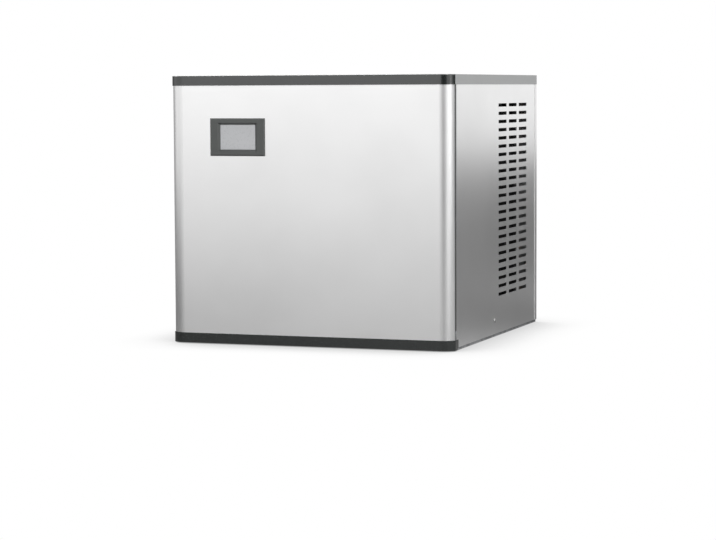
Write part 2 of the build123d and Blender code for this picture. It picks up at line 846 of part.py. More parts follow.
# Water trough: moulded tub under the plate
with BuildPart() as water_trough:
    with BuildSketch(Plane.XY.offset(trough_bottom)) as tub:
        with Locations((trough_left, trough_front)):
            Rectangle(trough_right - trough_left, trough_rear - trough_front, align=Align.MIN)
        fillet(tub.vertices(), liner_round)
    extrude(amount=trough_height)
    offset(amount=-trough_wall, openings=water_trough.faces().sort_by(Axis.Z)[-1])
    with BuildSketch(facing_front(trough_rear)):
        with Locations((drain_x, drain_z)):
            Circle(drain_radius + seat)
    extrude(amount=2 * trough_wall, mode=Mode.SUBTRACT)
water_trough.part.label = "water_trough"
export_step(water_trough.part, "parts/water_trough.step")

# Cube guide: sloping grate between two cheeks that stand on the trough
guide_left = trough_left + seat
guide_right = plate_right + rail_thickness
guide_base = trough_top + seat
guide_run = guide_back - guide_front
guide_slant = (guide_run**2 + (guide_rise - guide_lip) ** 2) ** 0.5
with BuildPart() as cube_guide:
    for cheek_x in (guide_left, guide_right - guide_cheek):
        with BuildSketch(facing_side(cheek_x)):
            with BuildLine():
                Polyline(
                    (guide_back, guide_base),
                    (guide_back, guide_base + guide_rise),
                    (guide_front, guide_base + guide_lip),
                    (guide_front, guide_base),
                    close=True,
                )
            make_face()
        extrude(amount=guide_cheek)
    grate = Plane(
        origin=((guide_left + guide_right) / 2, guide_front, guide_base + guide_lip),
        x_dir=(1, 0, 0),
        z_dir=(0, -(guide_rise - guide_lip) / guide_slant, guide_run / guide_slant),
    )
    with BuildSketch(grate):
        Rectangle(guide_right - guide_left, guide_slant, align=(Align.CENTER, Align.MIN))
        with Locations((0, guide_slant / 2)):
            with GridLocations(
                (guide_right - guide_left) / (guide_bar_count + 1), guide_slant, guide_bar_count, 1
            ):
                Rectangle(guide_bar_gap, guide_slant - 4 * guide_cheek, mode=Mode.SUBTRACT)
    extrude(amount=-guide_thickness)
    with BuildSketch(Plane.XY.offset(guide_base)):
        with Locations(((guide_left + guide_right) / 2, (guide_back + guide_front) / 2)):
            Rectangle(guide_right - guide_left + 1, guide_run + 2 * guide_slant)
    extrude(amount=-2 * guide_thickness, mode=Mode.SUBTRACT)
cube_guide.part.label = "cube_guide"
export_step(cube_guide.part, "parts/cube_guide.step")

# Pump bracket: plate over the trough's right end, with a windowed collar for the motor
collar_top = pump_plate_top + pump_collar_height
with BuildPart() as pump_bracket:
    with BuildSketch(Plane.XY.offset(pump_plate_bottom)) as bracket_plan:
        with Locations((pump_plate_left, trough_front)):
            Rectangle(trough_right - pump_plate_left, trough_rear - trough_front, align=Align.MIN)
        with Locations((pump_x, pump_y)):
            Circle(pump_column + seat, mode=Mode.SUBTRACT)
        with Locations((spigot_x, hose_y)):
            Circle(hose_radius + seat, mode=Mode.SUBTRACT)
        with Locations((float_x, float_y)):
            Circle(stem_radius + seat, mode=Mode.SUBTRACT)
    extrude(amount=pump_plate)
    with BuildSketch(Plane.XY.offset(pump_plate_top)):
        with Locations((pump_x, pump_y)):
            Circle(pump_collar)
            Circle(pump_collar - pump_plate, mode=Mode.SUBTRACT)
    extrude(amount=pump_collar_height)
    with BuildSketch(facing_front(pump_y)):
        with Locations((pump_x, pump_plate_top + pump_collar_height / 2)):
            Rectangle(pump_collar, pump_collar_height - 4 * pump_plate)
    extrude(amount=2 * pump_collar, both=True, mode=Mode.SUBTRACT)
pump_bracket.part.label = "pump_bracket"
export_step(pump_bracket.part, "parts/pump_bracket.step")

# Pump housing: hollow volute on a column under the bracket, with the outlet spigot
volute_bottom = trough_bottom + trough_wall + volute_low
volute_top = volute_bottom + volute_height
spigot_z = volute_bottom + volute_height / 2
with BuildPart() as pump_housing:
    with BuildSketch(Plane.XY.offset(volute_bottom)):
        with Locations((pump_x, pump_y)):
            Circle(volute_radius)
    extrude(amount=volute_height)
    with BuildSketch(Plane.XY.offset(volute_top)):
        with Locations((pump_x, pump_y)):
            Circle(pump_column)
    extrude(amount=pump_plate_top - volute_top)
    with BuildSketch(facing_front(pump_y + volute_bore)):
        with Locations((spigot_x, spigot_z)):
            Circle(spigot_radius)
    extrude(amount=-(volute_radius - volute_bore + spigot_length))
    with BuildSketch(Plane.XY.offset(volute_bottom + volute_wall)):
        with Locations((pump_x, pump_y)):
            Circle(volute_bore)
    extrude(amount=volute_height - 2 * volute_wall, mode=Mode.SUBTRACT)
    with BuildSketch(Plane.XY.offset(volute_bottom)):
        with Locations((pump_x, pump_y)):
            Circle(volute_bore / 2)
    extrude(amount=volute_wall, mode=Mode.SUBTRACT)
    with BuildSketch(Plane.XY.offset(volute_top - volute_wall)):
        with Locations((pump_x, pump_y)):
            Circle(pump_column - volute_wall)
    extrude(amount=pump_plate_top - volute_top + volute_wall, mode=Mode.SUBTRACT)
pump_housing.part.label = "pump_housing"
export_step(pump_housing.part, "parts/pump_housing.step")

# Pump motor: round can on the collar, with a bore for the shaft
with BuildPart() as pump_motor:
    with BuildSketch(Plane.XY.offset(collar_top)):
        with Locations((pump_x, pump_y)):
            Circle(motor_radius)
    extrude(amount=motor_height)
    fillet(pump_motor.faces().sort_by(Axis.Z)[-1].edges(), 3 * trough_wall)
    with BuildSketch(Plane.XY.offset(collar_top)):
        with Locations((pump_x, pump_y)):
            Circle(shaft_radius + running)
    extrude(amount=shaft_grip + seat, mode=Mode.SUBTRACT)
pump_motor.part.label = "pump_motor"
export_step(pump_motor.part, "parts/pump_motor.step")

# Pump rotor: shaft with a disc and straight vanes
impeller_bottom = volute_bottom + volute_wall + 3.0
with BuildPart() as pump_rotor:
    with BuildSketch(Plane.XY.offset(impeller_bottom)):
        with Locations((pump_x, pump_y)):
            Circle(shaft_radius)
    extrude(amount=collar_top + shaft_grip - impeller_bottom)
    with BuildSketch(Plane.XY.offset(impeller_bottom + impeller_height)):
        with Locations((pump_x, pump_y)):
            Circle(impeller_radius)
    extrude(amount=2.0)
    with BuildSketch(Plane.XY.offset(impeller_bottom)):
        with Locations((pump_x, pump_y)):
            with PolarLocations(0, impeller_blades):
                Rectangle(impeller_radius, 2.0, align=(Align.MIN, Align.CENTER))
    extrude(amount=impeller_height)
pump_rotor.part.label = "pump_rotor"
export_step(pump_rotor.part, "parts/pump_rotor.step")

# Water hose: from the pump up to the water tube
with BuildPart() as water_hose:
    run_pipe(
        [
            (spigot_x, pump_y + volute_radius + spigot_length + seat, spigot_z),
            (spigot_x, hose_y, spigot_z),
            (spigot_x, hose_y, tube_z - 40.0),
            (spigot_x, tube_y, tube_z),
            (tube_right + seat, tube_y, tube_z),
        ],
        [7.0, 30.0, 8.0],
        hose_radius,
    )
water_hose.part.label = "water_hose"
export_step(water_hose.part, "parts/water_hose.step")

# Float stem: rod under the bracket with a stop collar at its lower end
stem_bottom = trough_bottom + trough_wall + seat
float_bottom = stem_bottom + float_low
with BuildPart() as float_stem:
    with BuildSketch(Plane.XY.offset(stem_bottom)):
        with Locations((float_x, float_y)):
            Circle(stem_collar)
    extrude(amount=float_low - body_gap)
    with BuildSketch(Plane.XY.offset(stem_bottom)):
        with Locations((float_x, float_y)):
            Circle(stem_radius)
    extrude(amount=pump_plate_top + stem_radius - stem_bottom)
    with BuildSketch(Plane.XY.offset(pump_plate_top)):
        with Locations((float_x, float_y)):
            Circle(stem_collar)
    extrude(amount=2 * stem_radius)
float_stem.part.label = "float_stem"
export_step(float_stem.part, "parts/float_stem.step")

# Water float: rounded barrel that slides on the stem
with BuildPart() as water_float:
    with BuildSketch(Plane.XY.offset(float_bottom)):
        with Locations((float_x, float_y)):
            Circle(float_radius)
    extrude(amount=float_height)
    chamfer(water_float.edges(), 2.0)
    with BuildSketch(Plane.XY.offset(float_bottom)):
        with Locations((float_x, float_y)):
            Circle(stem_radius + running)
    extrude(amount=float_height, mode=Mode.SUBTRACT)
water_float.part.label = "water_float"
export_step(water_float.part, "parts/water_float.step")

# Inlet valve: threaded fitting through the rear panel, body and coil inside
valve_front = rear_inner - seat - valve_depth
with BuildPart() as inlet_valve:
    with BuildSketch(facing_front(valve_front)) as valve_body:
        with Locations((inlet_x, inlet_z)):
            Rectangle(valve_width, valve_width)
        fillet(valve_body.vertices(), 4.0)
    extrude(amount=-valve_depth)
    with BuildSketch(facing_front(valve_front + valve_depth)):
        with Locations((inlet_x, inlet_z)):
            Circle(inlet_radius - neck_step)
    extrude(amount=-(rear_y + neck_reach - valve_front - valve_depth))
    with BuildSketch(facing_front(rear_y + neck_reach)):
        with Locations((inlet_x, inlet_z)):
            Circle(inlet_radius)
    extrude(amount=-(fitting_reach - neck_reach))
    chamfer(inlet_valve.faces().sort_by(Axis.Y)[-1].edges(), thread_chamfer)
    with BuildSketch(facing_front(rear_y + fitting_reach)):
        with Locations((inlet_x, inlet_z)):
            Circle(inlet_bore)
    extrude(amount=fitting_reach + valve_depth / 2, mode=Mode.SUBTRACT)
    with BuildSketch(facing_front(valve_front)):
        with Locations((inlet_x, inlet_z)):
            Circle(fill_radius)
    extrude(amount=fitting_reach / 2)
    with BuildSketch(Plane.XY.offset(inlet_z + valve_width / 2)):
        with Locations((inlet_x, valve_front + valve_depth / 2)):
            Circle(solenoid_width / 2)
    extrude(amount=solenoid_height)
    chamfer(inlet_valve.faces().sort_by(Axis.Z)[-1].edges(), 2.0)
inlet_valve.part.label = "inlet_valve"
export_step(inlet_valve.part, "parts/inlet_valve.step")

# Fill hose: from the inlet valve through the liner's back wall to the trough
fill_turn_rear = 150.0
fill_turn_front = 60.0
fill_bend = 60.0
with BuildPart() as fill_hose:
    run_pipe(
        [
            (inlet_x, valve_front - fitting_reach / 2 - seat, inlet_z),
            (inlet_x, fill_turn_rear, inlet_z),
            (fill_x, fill_turn_front, inlet_z),
            (fill_x, liner_inner_back - 12.0, inlet_z),
        ],
        fill_bend,
        fill_radius,
    )
fill_hose.part.label = "fill_hose"
export_step(fill_hose.part, "parts/fill_hose.step")

# Dump valve: body behind the compartment on a short neck from the trough, coil on top
with BuildPart() as dump_valve:
    with BuildSketch(Plane.XY.offset(drain_z - dump_width / 2)) as dump_plan:
        with Locations((drain_x, dump_y)):
            Rectangle(dump_width, dump_depth, align=(Align.CENTER, Align.MIN))
        fillet(dump_plan.vertices(), 4.0)
    extrude(amount=dump_width)
    with BuildSketch(facing_front(trough_rear - trough_wall)):
        with Locations((drain_x, drain_z)):
            Circle(drain_radius)
    extrude(amount=-(dump_y - trough_rear + 2 * trough_wall))
    with BuildSketch(Plane.XY.offset(drain_z + dump_width / 2)):
        with Locations((drain_x, dump_y + dump_depth / 2)):
            Circle(dump_width / 2 - 1)
    extrude(amount=solenoid_height)
    chamfer(dump_valve.faces().sort_by(Axis.Z)[-1].edges(), 2.0)
dump_valve.part.label = "dump_valve"
export_step(dump_valve.part, "parts/dump_valve.step")

# Drain pipe: from the dump valve out through the rear panel
drain_start = dump_y + dump_depth + seat
with BuildPart() as drain_pipe:
    with BuildSketch(facing_front(drain_start)):
        with Locations((drain_x, drain_z)):
            Circle(drain_radius - drain_step)
    extrude(amount=-(rear_y + neck_reach - drain_start))
    with BuildSketch(facing_front(rear_y + neck_reach)):
        with Locations((drain_x, drain_z)):
            Circle(drain_radius)
    extrude(amount=-(fitting_reach - neck_reach))
    with BuildSketch(facing_front(drain_start)):
        with Locations((drain_x, drain_z)):
            Circle(drain_bore)
    extrude(amount=-(rear_y + fitting_reach - drain_start), mode=Mode.SUBTRACT)
drain_pipe.part.label = "drain_pipe"
export_step(drain_pipe.part, "parts/drain_pipe.step")

# Cable gland: hexagon and domed nut on the rear panel, with a through bore
with BuildPart() as cable_gland:
    with BuildSketch(facing_front(rear_y + seat)):
        with Locations((gland_x, gland_z)):
            RegularPolygon(gland_hex, 6)
    extrude(amount=-fitting_reach / 3)
    with BuildSketch(facing_front(rear_inner - 5)):
        with Locations((gland_x, gland_z)):
            Circle(gland_radius - 2)
    extrude(amount=-fitting_reach + 4)
    with BuildSketch(facing_front(rear_inner - seat)):
        with Locations((gland_x, gland_z)):
            RegularPolygon(gland_hex, 6)
    extrude(amount=4.0)
    with BuildSketch(facing_front(rear_y)):
        with Locations((gland_x, gland_z)):
            Circle(gland_bore)
    extrude(amount=fitting_reach, both=True, mode=Mode.SUBTRACT)
cable_gland.part.label = "cable_gland"
export_step(cable_gland.part, "parts/cable_gland.step")

# Compressor: welded shell with domed ends on a pressed foot plate
shell_round = 30.0
shell_top = shell_bottom + compressor_height
with BuildPart() as compressor:
    shell_plane = Plane(origin=(compressor_x, compressor_y, 0), x_dir=(1, 0, 0), z_dir=(0, -1, 0))
    with BuildSketch(shell_plane) as shell:
        with BuildLine():
            Polyline(
                (0, shell_top),
                (0, shell_bottom),
                (compressor_radius, shell_bottom),
                (compressor_radius, shell_top),
                (0, shell_top),
            )
        make_face()
        outer = shell.vertices().group_by(Axis.X)[-1]
        fillet(outer, shell_round)
    revolve(axis=Axis((compressor_x, compressor_y, 0), (0, 0, 1)))
    seam = shell_bottom + compressor_height / 2
    with BuildSketch(Plane.XY.offset(seam)):
        with Locations((compressor_x, compressor_y)):
            Circle(compressor_radius + 2)
    extrude(amount=4.0)
    with BuildSketch(Plane.XY.offset(compressor_foot)) as feet:
        with Locations((compressor_x, compressor_y)):
            Rectangle(foot_span + 2 * foot_reach, foot_span + 2 * foot_reach)
            with GridLocations(2 * foot_span + foot_reach, 0, 2, 1):
                Circle(foot_span * 0.6, mode=Mode.SUBTRACT)
            with GridLocations(0, 2 * foot_span + foot_reach, 1, 2):
                Circle(foot_span * 0.6, mode=Mode.SUBTRACT)
        fillet(feet.vertices(), 4.0)
        with Locations((compressor_x, compressor_y)):
            with GridLocations(foot_span, foot_span, 2, 2):
                Circle(foot_hole, mode=Mode.SUBTRACT)
    extrude(amount=foot_thickness)
compressor.part.label = "compressor"
export_step(compressor.part, "parts/compressor.step")

# Compressor grommets: rubber feet on the base pan
with BuildPart() as compressor_grommets:
    with BuildSketch(Plane.XY.offset(base_height)):
        with Locations((compressor_x, compressor_y)):
            with GridLocations(foot_span, foot_span, 2, 2):
                Circle(grommet_radius)
                Circle(foot_hole, mode=Mode.SUBTRACT)
    extrude(amount=grommet_height)
compressor_grommets.part.label = "compressor_grommets"
export_step(compressor_grommets.part, "parts/compressor_grommets.step")

# Compressor bolts: one through each foot and grommet
with BuildPart() as compressor_bolts:
    with BuildSketch(Plane.XY.offset(base_height + seat)):
        with Locations((compressor_x, compressor_y)):
            with GridLocations(foot_span, foot_span, 2, 2):
                Circle(stud_bolt)
    extrude(amount=shell_bottom + 2 * foot_thickness - base_height)
    with BuildSketch(Plane.XY.offset(shell_bottom + seat)):
        with Locations((compressor_x, compressor_y)):
            with GridLocations(foot_span, foot_span, 2, 2):
                RegularPolygon(2 * stud_bolt, 6)
    extrude(amount=foot_thickness)
compressor_bolts.part.label = "compressor_bolts"
export_step(compressor_bolts.part, "parts/compressor_bolts.step")

# Terminal cover: box on the side of the compressor shell
with BuildPart() as terminal_cover:
    with BuildSketch(Plane.XY.offset(shell_bottom + 60)) as cover_plan:
        with Locations((compressor_x, compressor_y + compressor_radius - 12)):
            Rectangle(50, 34, align=(Align.CENTER, Align.MIN))
        fillet(cover_plan.vertices().group_by(Axis.Y)[-1], 6.0)
        with Locations((compressor_x, compressor_y)):
            Circle(compressor_radius + seat, mode=Mode.SUBTRACT)
    extrude(amount=28.0)
terminal_cover.part.label = "terminal_cover"
export_step(terminal_cover.part, "parts/terminal_cover.step")

# Suction line: from the coil's upper end to the front of the compressor
suction_x = coil_left + coil_width
suction_y = liner_back + 30.0
with BuildPart() as suction_line:
    run_pipe(
        [
            (suction_x, coil_rear + seat, row_height[-1]),
            (suction_x, suction_y, row_height[-1]),
            (suction_x, suction_y, line_z),
            (compressor_x, suction_y, line_z),
            (compressor_x, compressor_y - compressor_radius - seat, line_z),
        ],
        14.0,
        suction_radius,
    )
suction_line.part.label = "suction_line"
export_step(suction_line.part, "parts/suction_line.step")

# Discharge line: from the compressor over to the condenser's rear header
discharge_x = compressor_x + compressor_radius + seat
discharge_top = condenser_top - 25.0
with BuildPart() as discharge_line:
    run_pipe(
        [
            (discharge_x, compressor_y, line_z),
            (gas_x, compressor_y, line_z),
            (gas_x, compressor_y, discharge_top),
            (gas_x, header_rear, discharge_top),
            (condenser_x - header_radius - seat, header_rear, discharge_top),
        ],
        20.0,
        pipe_radius,
    )
discharge_line.part.label = "discharge_line"
export_step(discharge_line.part, "parts/discharge_line.step")

# Condenser: flat tubes brazed between two upright headers that stand on the base pan
flat_left = condenser_x - flat_depth / 2
with BuildPart() as condenser:
    with BuildSketch(Plane.XY.offset(base_height + seat)):
        with Locations((condenser_x, header_front), (condenser_x, header_rear)):
            Rectangle(flat_depth, 2 * header_radius)
    extrude(amount=condenser_top - base_height - seat)
    with BuildSketch(facing_side(flat_left)):
        for tube in range(flat_count):
            with Locations((fan_y, flat_first + flat_pitch * tube)):
                Rectangle(header_rear - header_front, flat_tube)
    extrude(amount=flat_depth)
condenser.part.label = "condenser"
export_step(condenser.part, "parts/condenser.step")

# Fan shroud: folded plate over the condenser with a round venturi
shroud_front_y = header_front + header_radius + seat
shroud_rear_y = header_rear - header_radius - seat
with BuildPart() as fan_shroud:
    with BuildSketch(facing_side(shroud_face)):
        with Locations((shroud_front_y, base_height + seat)):
            Rectangle(shroud_rear_y - shroud_front_y, condenser_top - base_height - seat, align=Align.MIN)
    extrude(amount=flat_left - seat - shroud_face)
    with BuildSketch(facing_side(shroud_face + shroud_sheet)):
        with Locations((shroud_front_y + shroud_sheet, base_height + seat + shroud_sheet)):
            Rectangle(
                shroud_rear_y - shroud_front_y - 2 * shroud_sheet,
                condenser_top - base_height - seat - 2 * shroud_sheet,
                align=Align.MIN,
            )
    extrude(amount=flat_left - shroud_face, mode=Mode.SUBTRACT)
    with BuildSketch(facing_side(shroud_face)):
        with Locations((fan_y, fan_z)):
            Circle(fan_opening + venturi_wall)
    extrude(amount=-venturi_depth)
    with BuildSketch(facing_side(shroud_face + shroud_sheet)):
        with Locations((fan_y, fan_z)):
            Circle(fan_opening)
    extrude(amount=-(venturi_depth + shroud_sheet), mode=Mode.SUBTRACT)
fan_shroud.part.label = "fan_shroud"
export_step(fan_shroud.part, "parts/fan_shroud.step")

# Fan bracket: ring round the motor with bent arms to the shroud
ring_middle = (fan_motor_front + fan_motor_back) / 2
with BuildPart() as fan_bracket:
    with BuildSketch(facing_side(ring_middle - 5)):
        with Locations((fan_y, fan_z)):
            Circle(fan_motor_radius + 3)
            Circle(fan_motor_radius + seat, mode=Mode.SUBTRACT)
    extrude(amount=10.0)
    for arm in range(arm_count):
        turn = radians(45 + 360 / arm_count * arm)
        out = Vector(0, cos(turn), sin(turn))
        middle = Vector(ring_middle, fan_y, fan_z)
        across = Plane(origin=middle, x_dir=(1, 0, 0), z_dir=Vector(1, 0, 0).cross(out))
        with BuildSketch(across):
            with BuildLine():
                Polyline(
                    (-arm_thickness / 2, fan_motor_radius + 2),
                    (-arm_thickness / 2, arm_circle),
                    (shroud_face - seat - ring_middle, arm_circle),
                    (shroud_face - seat - ring_middle, arm_circle - arm_thickness),
                    (arm_thickness / 2, arm_circle - arm_thickness),
                    (arm_thickness / 2, fan_motor_radius + 2),
                    close=True,
                )
            make_face()
        extrude(amount=arm_width / 2, both=True)
fan_bracket.part.label = "fan_bracket"
export_step(fan_bracket.part, "parts/fan_bracket.step")

# Fan motor: round can with a bore for the shaft
with BuildPart() as fan_motor:
    with BuildSketch(facing_side(fan_motor_back)):
        with Locations((fan_y, fan_z)):
            Circle(fan_motor_radius)
    extrude(amount=fan_motor_depth)
    chamfer(fan_motor.edges(), 5.0)
    with BuildSketch(facing_side(fan_motor_front)):
        with Locations((fan_y, fan_z)):
            Circle(fan_shaft + running)
    extrude(amount=-20.0 - seat, mode=Mode.SUBTRACT)
fan_motor.part.label = "fan_motor"
export_step(fan_motor.part, "parts/fan_motor.step")

# Fan blade: hub on its shaft, with twisted blades lofted from root to tip
hub_centre = Vector((hub_front + hub_back) / 2, fan_y, fan_z)
blade_sections = (
    (hub_radius - 3, blade_root_chord, blade_root_pitch),
    (fan_radius, blade_tip_chord, blade_tip_pitch),
)
with BuildPart() as fan_blade:
    with BuildSketch(facing_side(hub_back)):
        with Locations((fan_y, fan_z)):
            Circle(hub_radius)
    extrude(amount=hub_depth)
    fillet(fan_blade.faces().sort_by(Axis.X)[-1].edges(), 4.0)
    with BuildSketch(facing_side(fan_motor_front - 20.0)):
        with Locations((fan_y, fan_z)):
            Circle(fan_shaft)
    extrude(amount=20.0 + fan_gap + hub_depth / 2)
    for blade in range(blade_count):
        turn = radians(360 / blade_count * blade)
        out = Vector(0, cos(turn), sin(turn))
        round_hub = Vector(1, 0, 0).cross(out)
        for reach, chord, pitch in blade_sections:
            lean = Vector(cos(radians(pitch)), 0, 0) + round_hub * sin(radians(pitch))
            with BuildSketch(Plane(origin=hub_centre + out * reach, x_dir=lean, z_dir=out)):
                Rectangle(chord, blade_thickness)
        loft()
fan_blade.part.label = "fan_blade"
export_step(fan_blade.part, "parts/fan_blade.step")

# Filter drier: copper bottle with tapered ends, in line at the condenser's foot
drier_left = drier_right - drier_length
with BuildPart() as filter_drier:
    with BuildSketch(Plane(origin=(drier_left, header_front, drier_z), x_dir=(1, 0, 0), z_dir=(0, -1, 0))):
        with BuildLine():
            Polyline(
                (-drier_stub, 0),
                (-drier_stub, pipe_radius + 1),
                (0, pipe_radius + 1),
                (drier_cone, drier_radius),
                (drier_length - drier_cone, drier_radius),
                (drier_length, pipe_radius + 1),
                (drier_length + drier_stub, pipe_radius + 1),
                (drier_length + drier_stub, 0),
                close=True,
            )
        make_face()
    revolve(axis=Axis((drier_left, header_front, drier_z), (1, 0, 0)))
filter_drier.part.label = "filter_drier"
export_step(filter_drier.part, "parts/filter_drier.step")

# Expansion valve: body on the coil's inlet with a flat power head
valve_low = row_height[0] - expansion_height / 2
with BuildPart() as expansion_valve:
    with BuildSketch(Plane.XY.offset(valve_low)):
        with Locations((expansion_x, coil_start_y)):
            Circle(expansion_radius)
    extrude(amount=expansion_height)
    with BuildSketch(Plane.XY.offset(valve_low + expansion_height)):
        with Locations((expansion_x, coil_start_y)):
            Circle(expansion_radius / 2)
    extrude(amount=6.0)
    with BuildSketch(Plane.XY.offset(valve_low + expansion_height + 6.0)):
        with Locations((expansion_x, coil_start_y)):
            Circle(1.25 * expansion_radius)
    extrude(amount=8.0)
    chamfer(expansion_valve.faces().sort_by(Axis.Z)[-1].edges(), 2.0)
expansion_valve.part.label = "expansion_valve"
export_step(expansion_valve.part, "parts/expansion_valve.step")

# Liquid line: condenser to drier, drier to expansion valve, and valve to coil
with BuildPart() as liquid_line:
    with BuildSketch(facing_side(drier_right + drier_stub + seat)):
        with Locations((header_front, drier_z)):
            Circle(pipe_radius)
    extrude(amount=condenser_x - header_radius - drier_right - drier_stub - 2 * seat)
    run_pipe(
        [
            (drier_left - drier_stub - seat, header_front, drier_z),
            (expansion_x, header_front, drier_z),
            (expansion_x, coil_start_y, valve_low - 40.0),
            (expansion_x, coil_start_y, valve_low - seat),
        ],
        [12.0, 20.0],
        pipe_radius,
    )
    run_pipe(
        [
            (expansion_x - expansion_radius - seat, coil_start_y, row_height[0]),
            (coil_inlet_x, coil_start_y, row_height[0]),
            (coil_inlet_x, coil_rear + seat, row_height[0]),
        ],
        12.0,
        pipe_radius,
    )
liquid_line.part.label = "liquid_line"
export_step(liquid_line.part, "parts/liquid_line.step")

# Hot gas valve and its line, from the discharge line to the coil's inlet
gas_front = gas_y - gas_size / 2
gas_rear = gas_y + gas_size / 2
with BuildPart() as hot_gas_valve:
    with BuildSketch(facing_front(gas_front)) as gas_body:
        with Locations((gas_x, gas_z)):
            Rectangle(gas_size, gas_size)
        fillet(gas_body.vertices(), 3.0)
    extrude(amount=-gas_size)
    with BuildSketch(Plane.XY.offset(gas_z + gas_size / 2)):
        with Locations((gas_x, gas_y)):
            Circle(gas_size / 2 - 1)
    extrude(amount=solenoid_height)
    chamfer(hot_gas_valve.faces().sort_by(Axis.Z)[-1].edges(), 2.0)
hot_gas_valve.part.label = "hot_gas_valve"
export_step(hot_gas_valve.part, "parts/hot_gas_valve.step")

gas_end_x = coil_inlet_x + 17.0
with BuildPart() as hot_gas_line:
    with BuildSketch(facing_front(gas_rear + seat)):
        with Locations((gas_x, gas_z)):
            Circle(pipe_radius)
    extrude(amount=-(compressor_y - pipe_radius - gas_rear - 2 * seat))
    run_pipe(
        [
            (gas_x, gas_front - seat, gas_z),
            (gas_x, coil_start_y, gas_z),
            (gas_end_x, coil_start_y, gas_z),
            (gas_end_x, coil_start_y, row_height[0] + pipe_radius + seat),
        ],
        12.0,
        pipe_radius,
    )
hot_gas_line.part.label = "hot_gas_line"
export_step(hot_gas_line.part, "parts/hot_gas_line.step")

# Control box: open-fronted sheet box beside the compartment
with BuildPart() as control_box:
    with BuildSketch(facing_front(box_front)):
        with Locations((box_left, box_bottom)):
            Rectangle(box_width, box_top - box_bottom, align=Align.MIN)
    extrude(amount=-box_depth)
    offset(amount=-sheet, openings=control_box.faces().sort_by(Axis.Y)[0])
control_box.part.label = "control_box"
export_step(control_box.part, "parts/control_box.step")

# Control cover: flat lid with a return edge, and the cut-out for the switch
with BuildPart() as control_cover:
    with BuildSketch(facing_front(box_front - seat)):
        with Locations((box_left, box_bottom)):
            Rectangle(box_width, box_top - box_bottom, align=Align.MIN)
        with Locations((control_x, switch_z)):
            Rectangle(
                switch_width - 2 * switch_rim + 2 * seat,
                switch_height - 2 * switch_rim + 2 * seat,
                mode=Mode.SUBTRACT,
            )
    extrude(amount=sheet)
control_cover.part.label = "control_cover"
export_step(control_cover.part, "parts/control_cover.step")

# Control board, with its relays and terminal strip
control_board_y = box_front + box_depth - sheet - 12.0
control_board_height = 130.0
terminal_width = 12.0
with BuildPart() as control_board:
    with BuildSketch(facing_front(control_board_y)):
        with Locations((control_x, (box_bottom + box_top) / 2 + 20)):
            Rectangle(box_width - 12, control_board_height)
    extrude(amount=-board_thickness)
    with BuildSketch(facing_front(control_board_y)):
        with Locations((control_x, (box_bottom + box_top) / 2 + 50)):
            with GridLocations(17, 0, 4, 1):
                Rectangle(13, 20)
    extrude(amount=16.0)
    with BuildSketch(facing_front(control_board_y)):
        with Locations((control_x, (box_bottom + box_top) / 2 - 30)):
            Rectangle(box_width - 20, terminal_width)
    extrude(amount=11.0)
    with BuildSketch(facing_front(control_board_y + board_thickness)):
        with Locations((control_x, (box_bottom + box_top) / 2 + 20)):
            with GridLocations(box_width - 22, control_board_height - 10, 2, 2):
                Circle(2.5)
    extrude(amount=-(12.0 - board_thickness - seat))
control_board.part.label = "control_board"
export_step(control_board.part, "parts/control_board.step")

# Contactor: block with a terminal step, low in the control box
with BuildPart() as contactor:
    with BuildSketch(facing_side(control_x - 24)):
        with BuildLine():
            back = box_front + box_depth - sheet - seat
            low = box_bottom + sheet + 14
            Polyline(
                (back, low),
                (back - 40, low),
                (back - 40, low + 14),
                (back - 62, low + 14),
                (back - 62, low + 40),
                (back - 40, low + 40),
                (back - 40, low + 54),
                (back, low + 54),
                close=True,
            )
        make_face()
    extrude(amount=48.0)
contactor.part.label = "contactor"
export_step(contactor.part, "parts/contactor.step")

# Switch housing: rimmed hollow block through the cover
cover_front = box_front - seat - sheet
rocker_y = cover_front + 4.0
with BuildPart() as switch_housing:
    with BuildSketch(facing_front(cover_front - seat)):
        with Locations((control_x, switch_z)):
            Rectangle(switch_width, switch_height)
    extrude(amount=switch_rim)
    with BuildSketch(facing_front(cover_front - seat)):
        with Locations((control_x, switch_z)):
            Rectangle(switch_width - 2 * switch_rim, switch_height - 2 * switch_rim)
    extrude(amount=-switch_depth)
    with BuildSketch(facing_front(cover_front - seat - switch_rim)):
        with Locations((control_x, switch_z)):
            Rectangle(
                switch_width - 2 * (switch_rim + switch_wall),
                switch_height - 2 * (switch_rim + switch_wall),
            )
    extrude(amount=-(switch_rim + switch_depth - switch_wall), mode=Mode.SUBTRACT)
    with BuildSketch(facing_side(control_x)):
        with Locations((rocker_y, switch_z)):
            Circle(rocker_pin + running)
    extrude(amount=switch_width / 2 - switch_rim - seat, both=True, mode=Mode.SUBTRACT)
switch_housing.part.label = "switch_housing"
export_step(switch_housing.part, "parts/switch_housing.step")

# Switch rocker: shallow V-shaped key on its pivot pins, tilted to off
rocker_width = switch_width - 2 * (switch_rim + switch_wall) - 2 * body_gap
rocker_half = switch_height / 2 - switch_rim - switch_wall - 1.2
with BuildPart() as switch_rocker:
    with BuildSketch(facing_side(control_x - rocker_width / 2)) as rocker_side:
        with BuildLine():
            Polyline(
                (rocker_y - 4.6, switch_z),
                (rocker_y - 6.2, switch_z + rocker_half),
                (rocker_y - 1.0, switch_z + rocker_half - 1.0),
                (rocker_y + 4.5, switch_z),
                (rocker_y - 1.0, switch_z - rocker_half + 1.0),
                (rocker_y - 6.2, switch_z - rocker_half),
                close=True,
            )
        make_face()
    extrude(amount=rocker_width)
    with BuildSketch(facing_side(control_x)):
        with Locations((rocker_y, switch_z)):
            Circle(rocker_pin)
    extrude(amount=rocker_width / 2 + body_gap + switch_wall - seat, both=True)
rocker_axis = Axis((control_x, rocker_y, switch_z), (1, 0, 0))
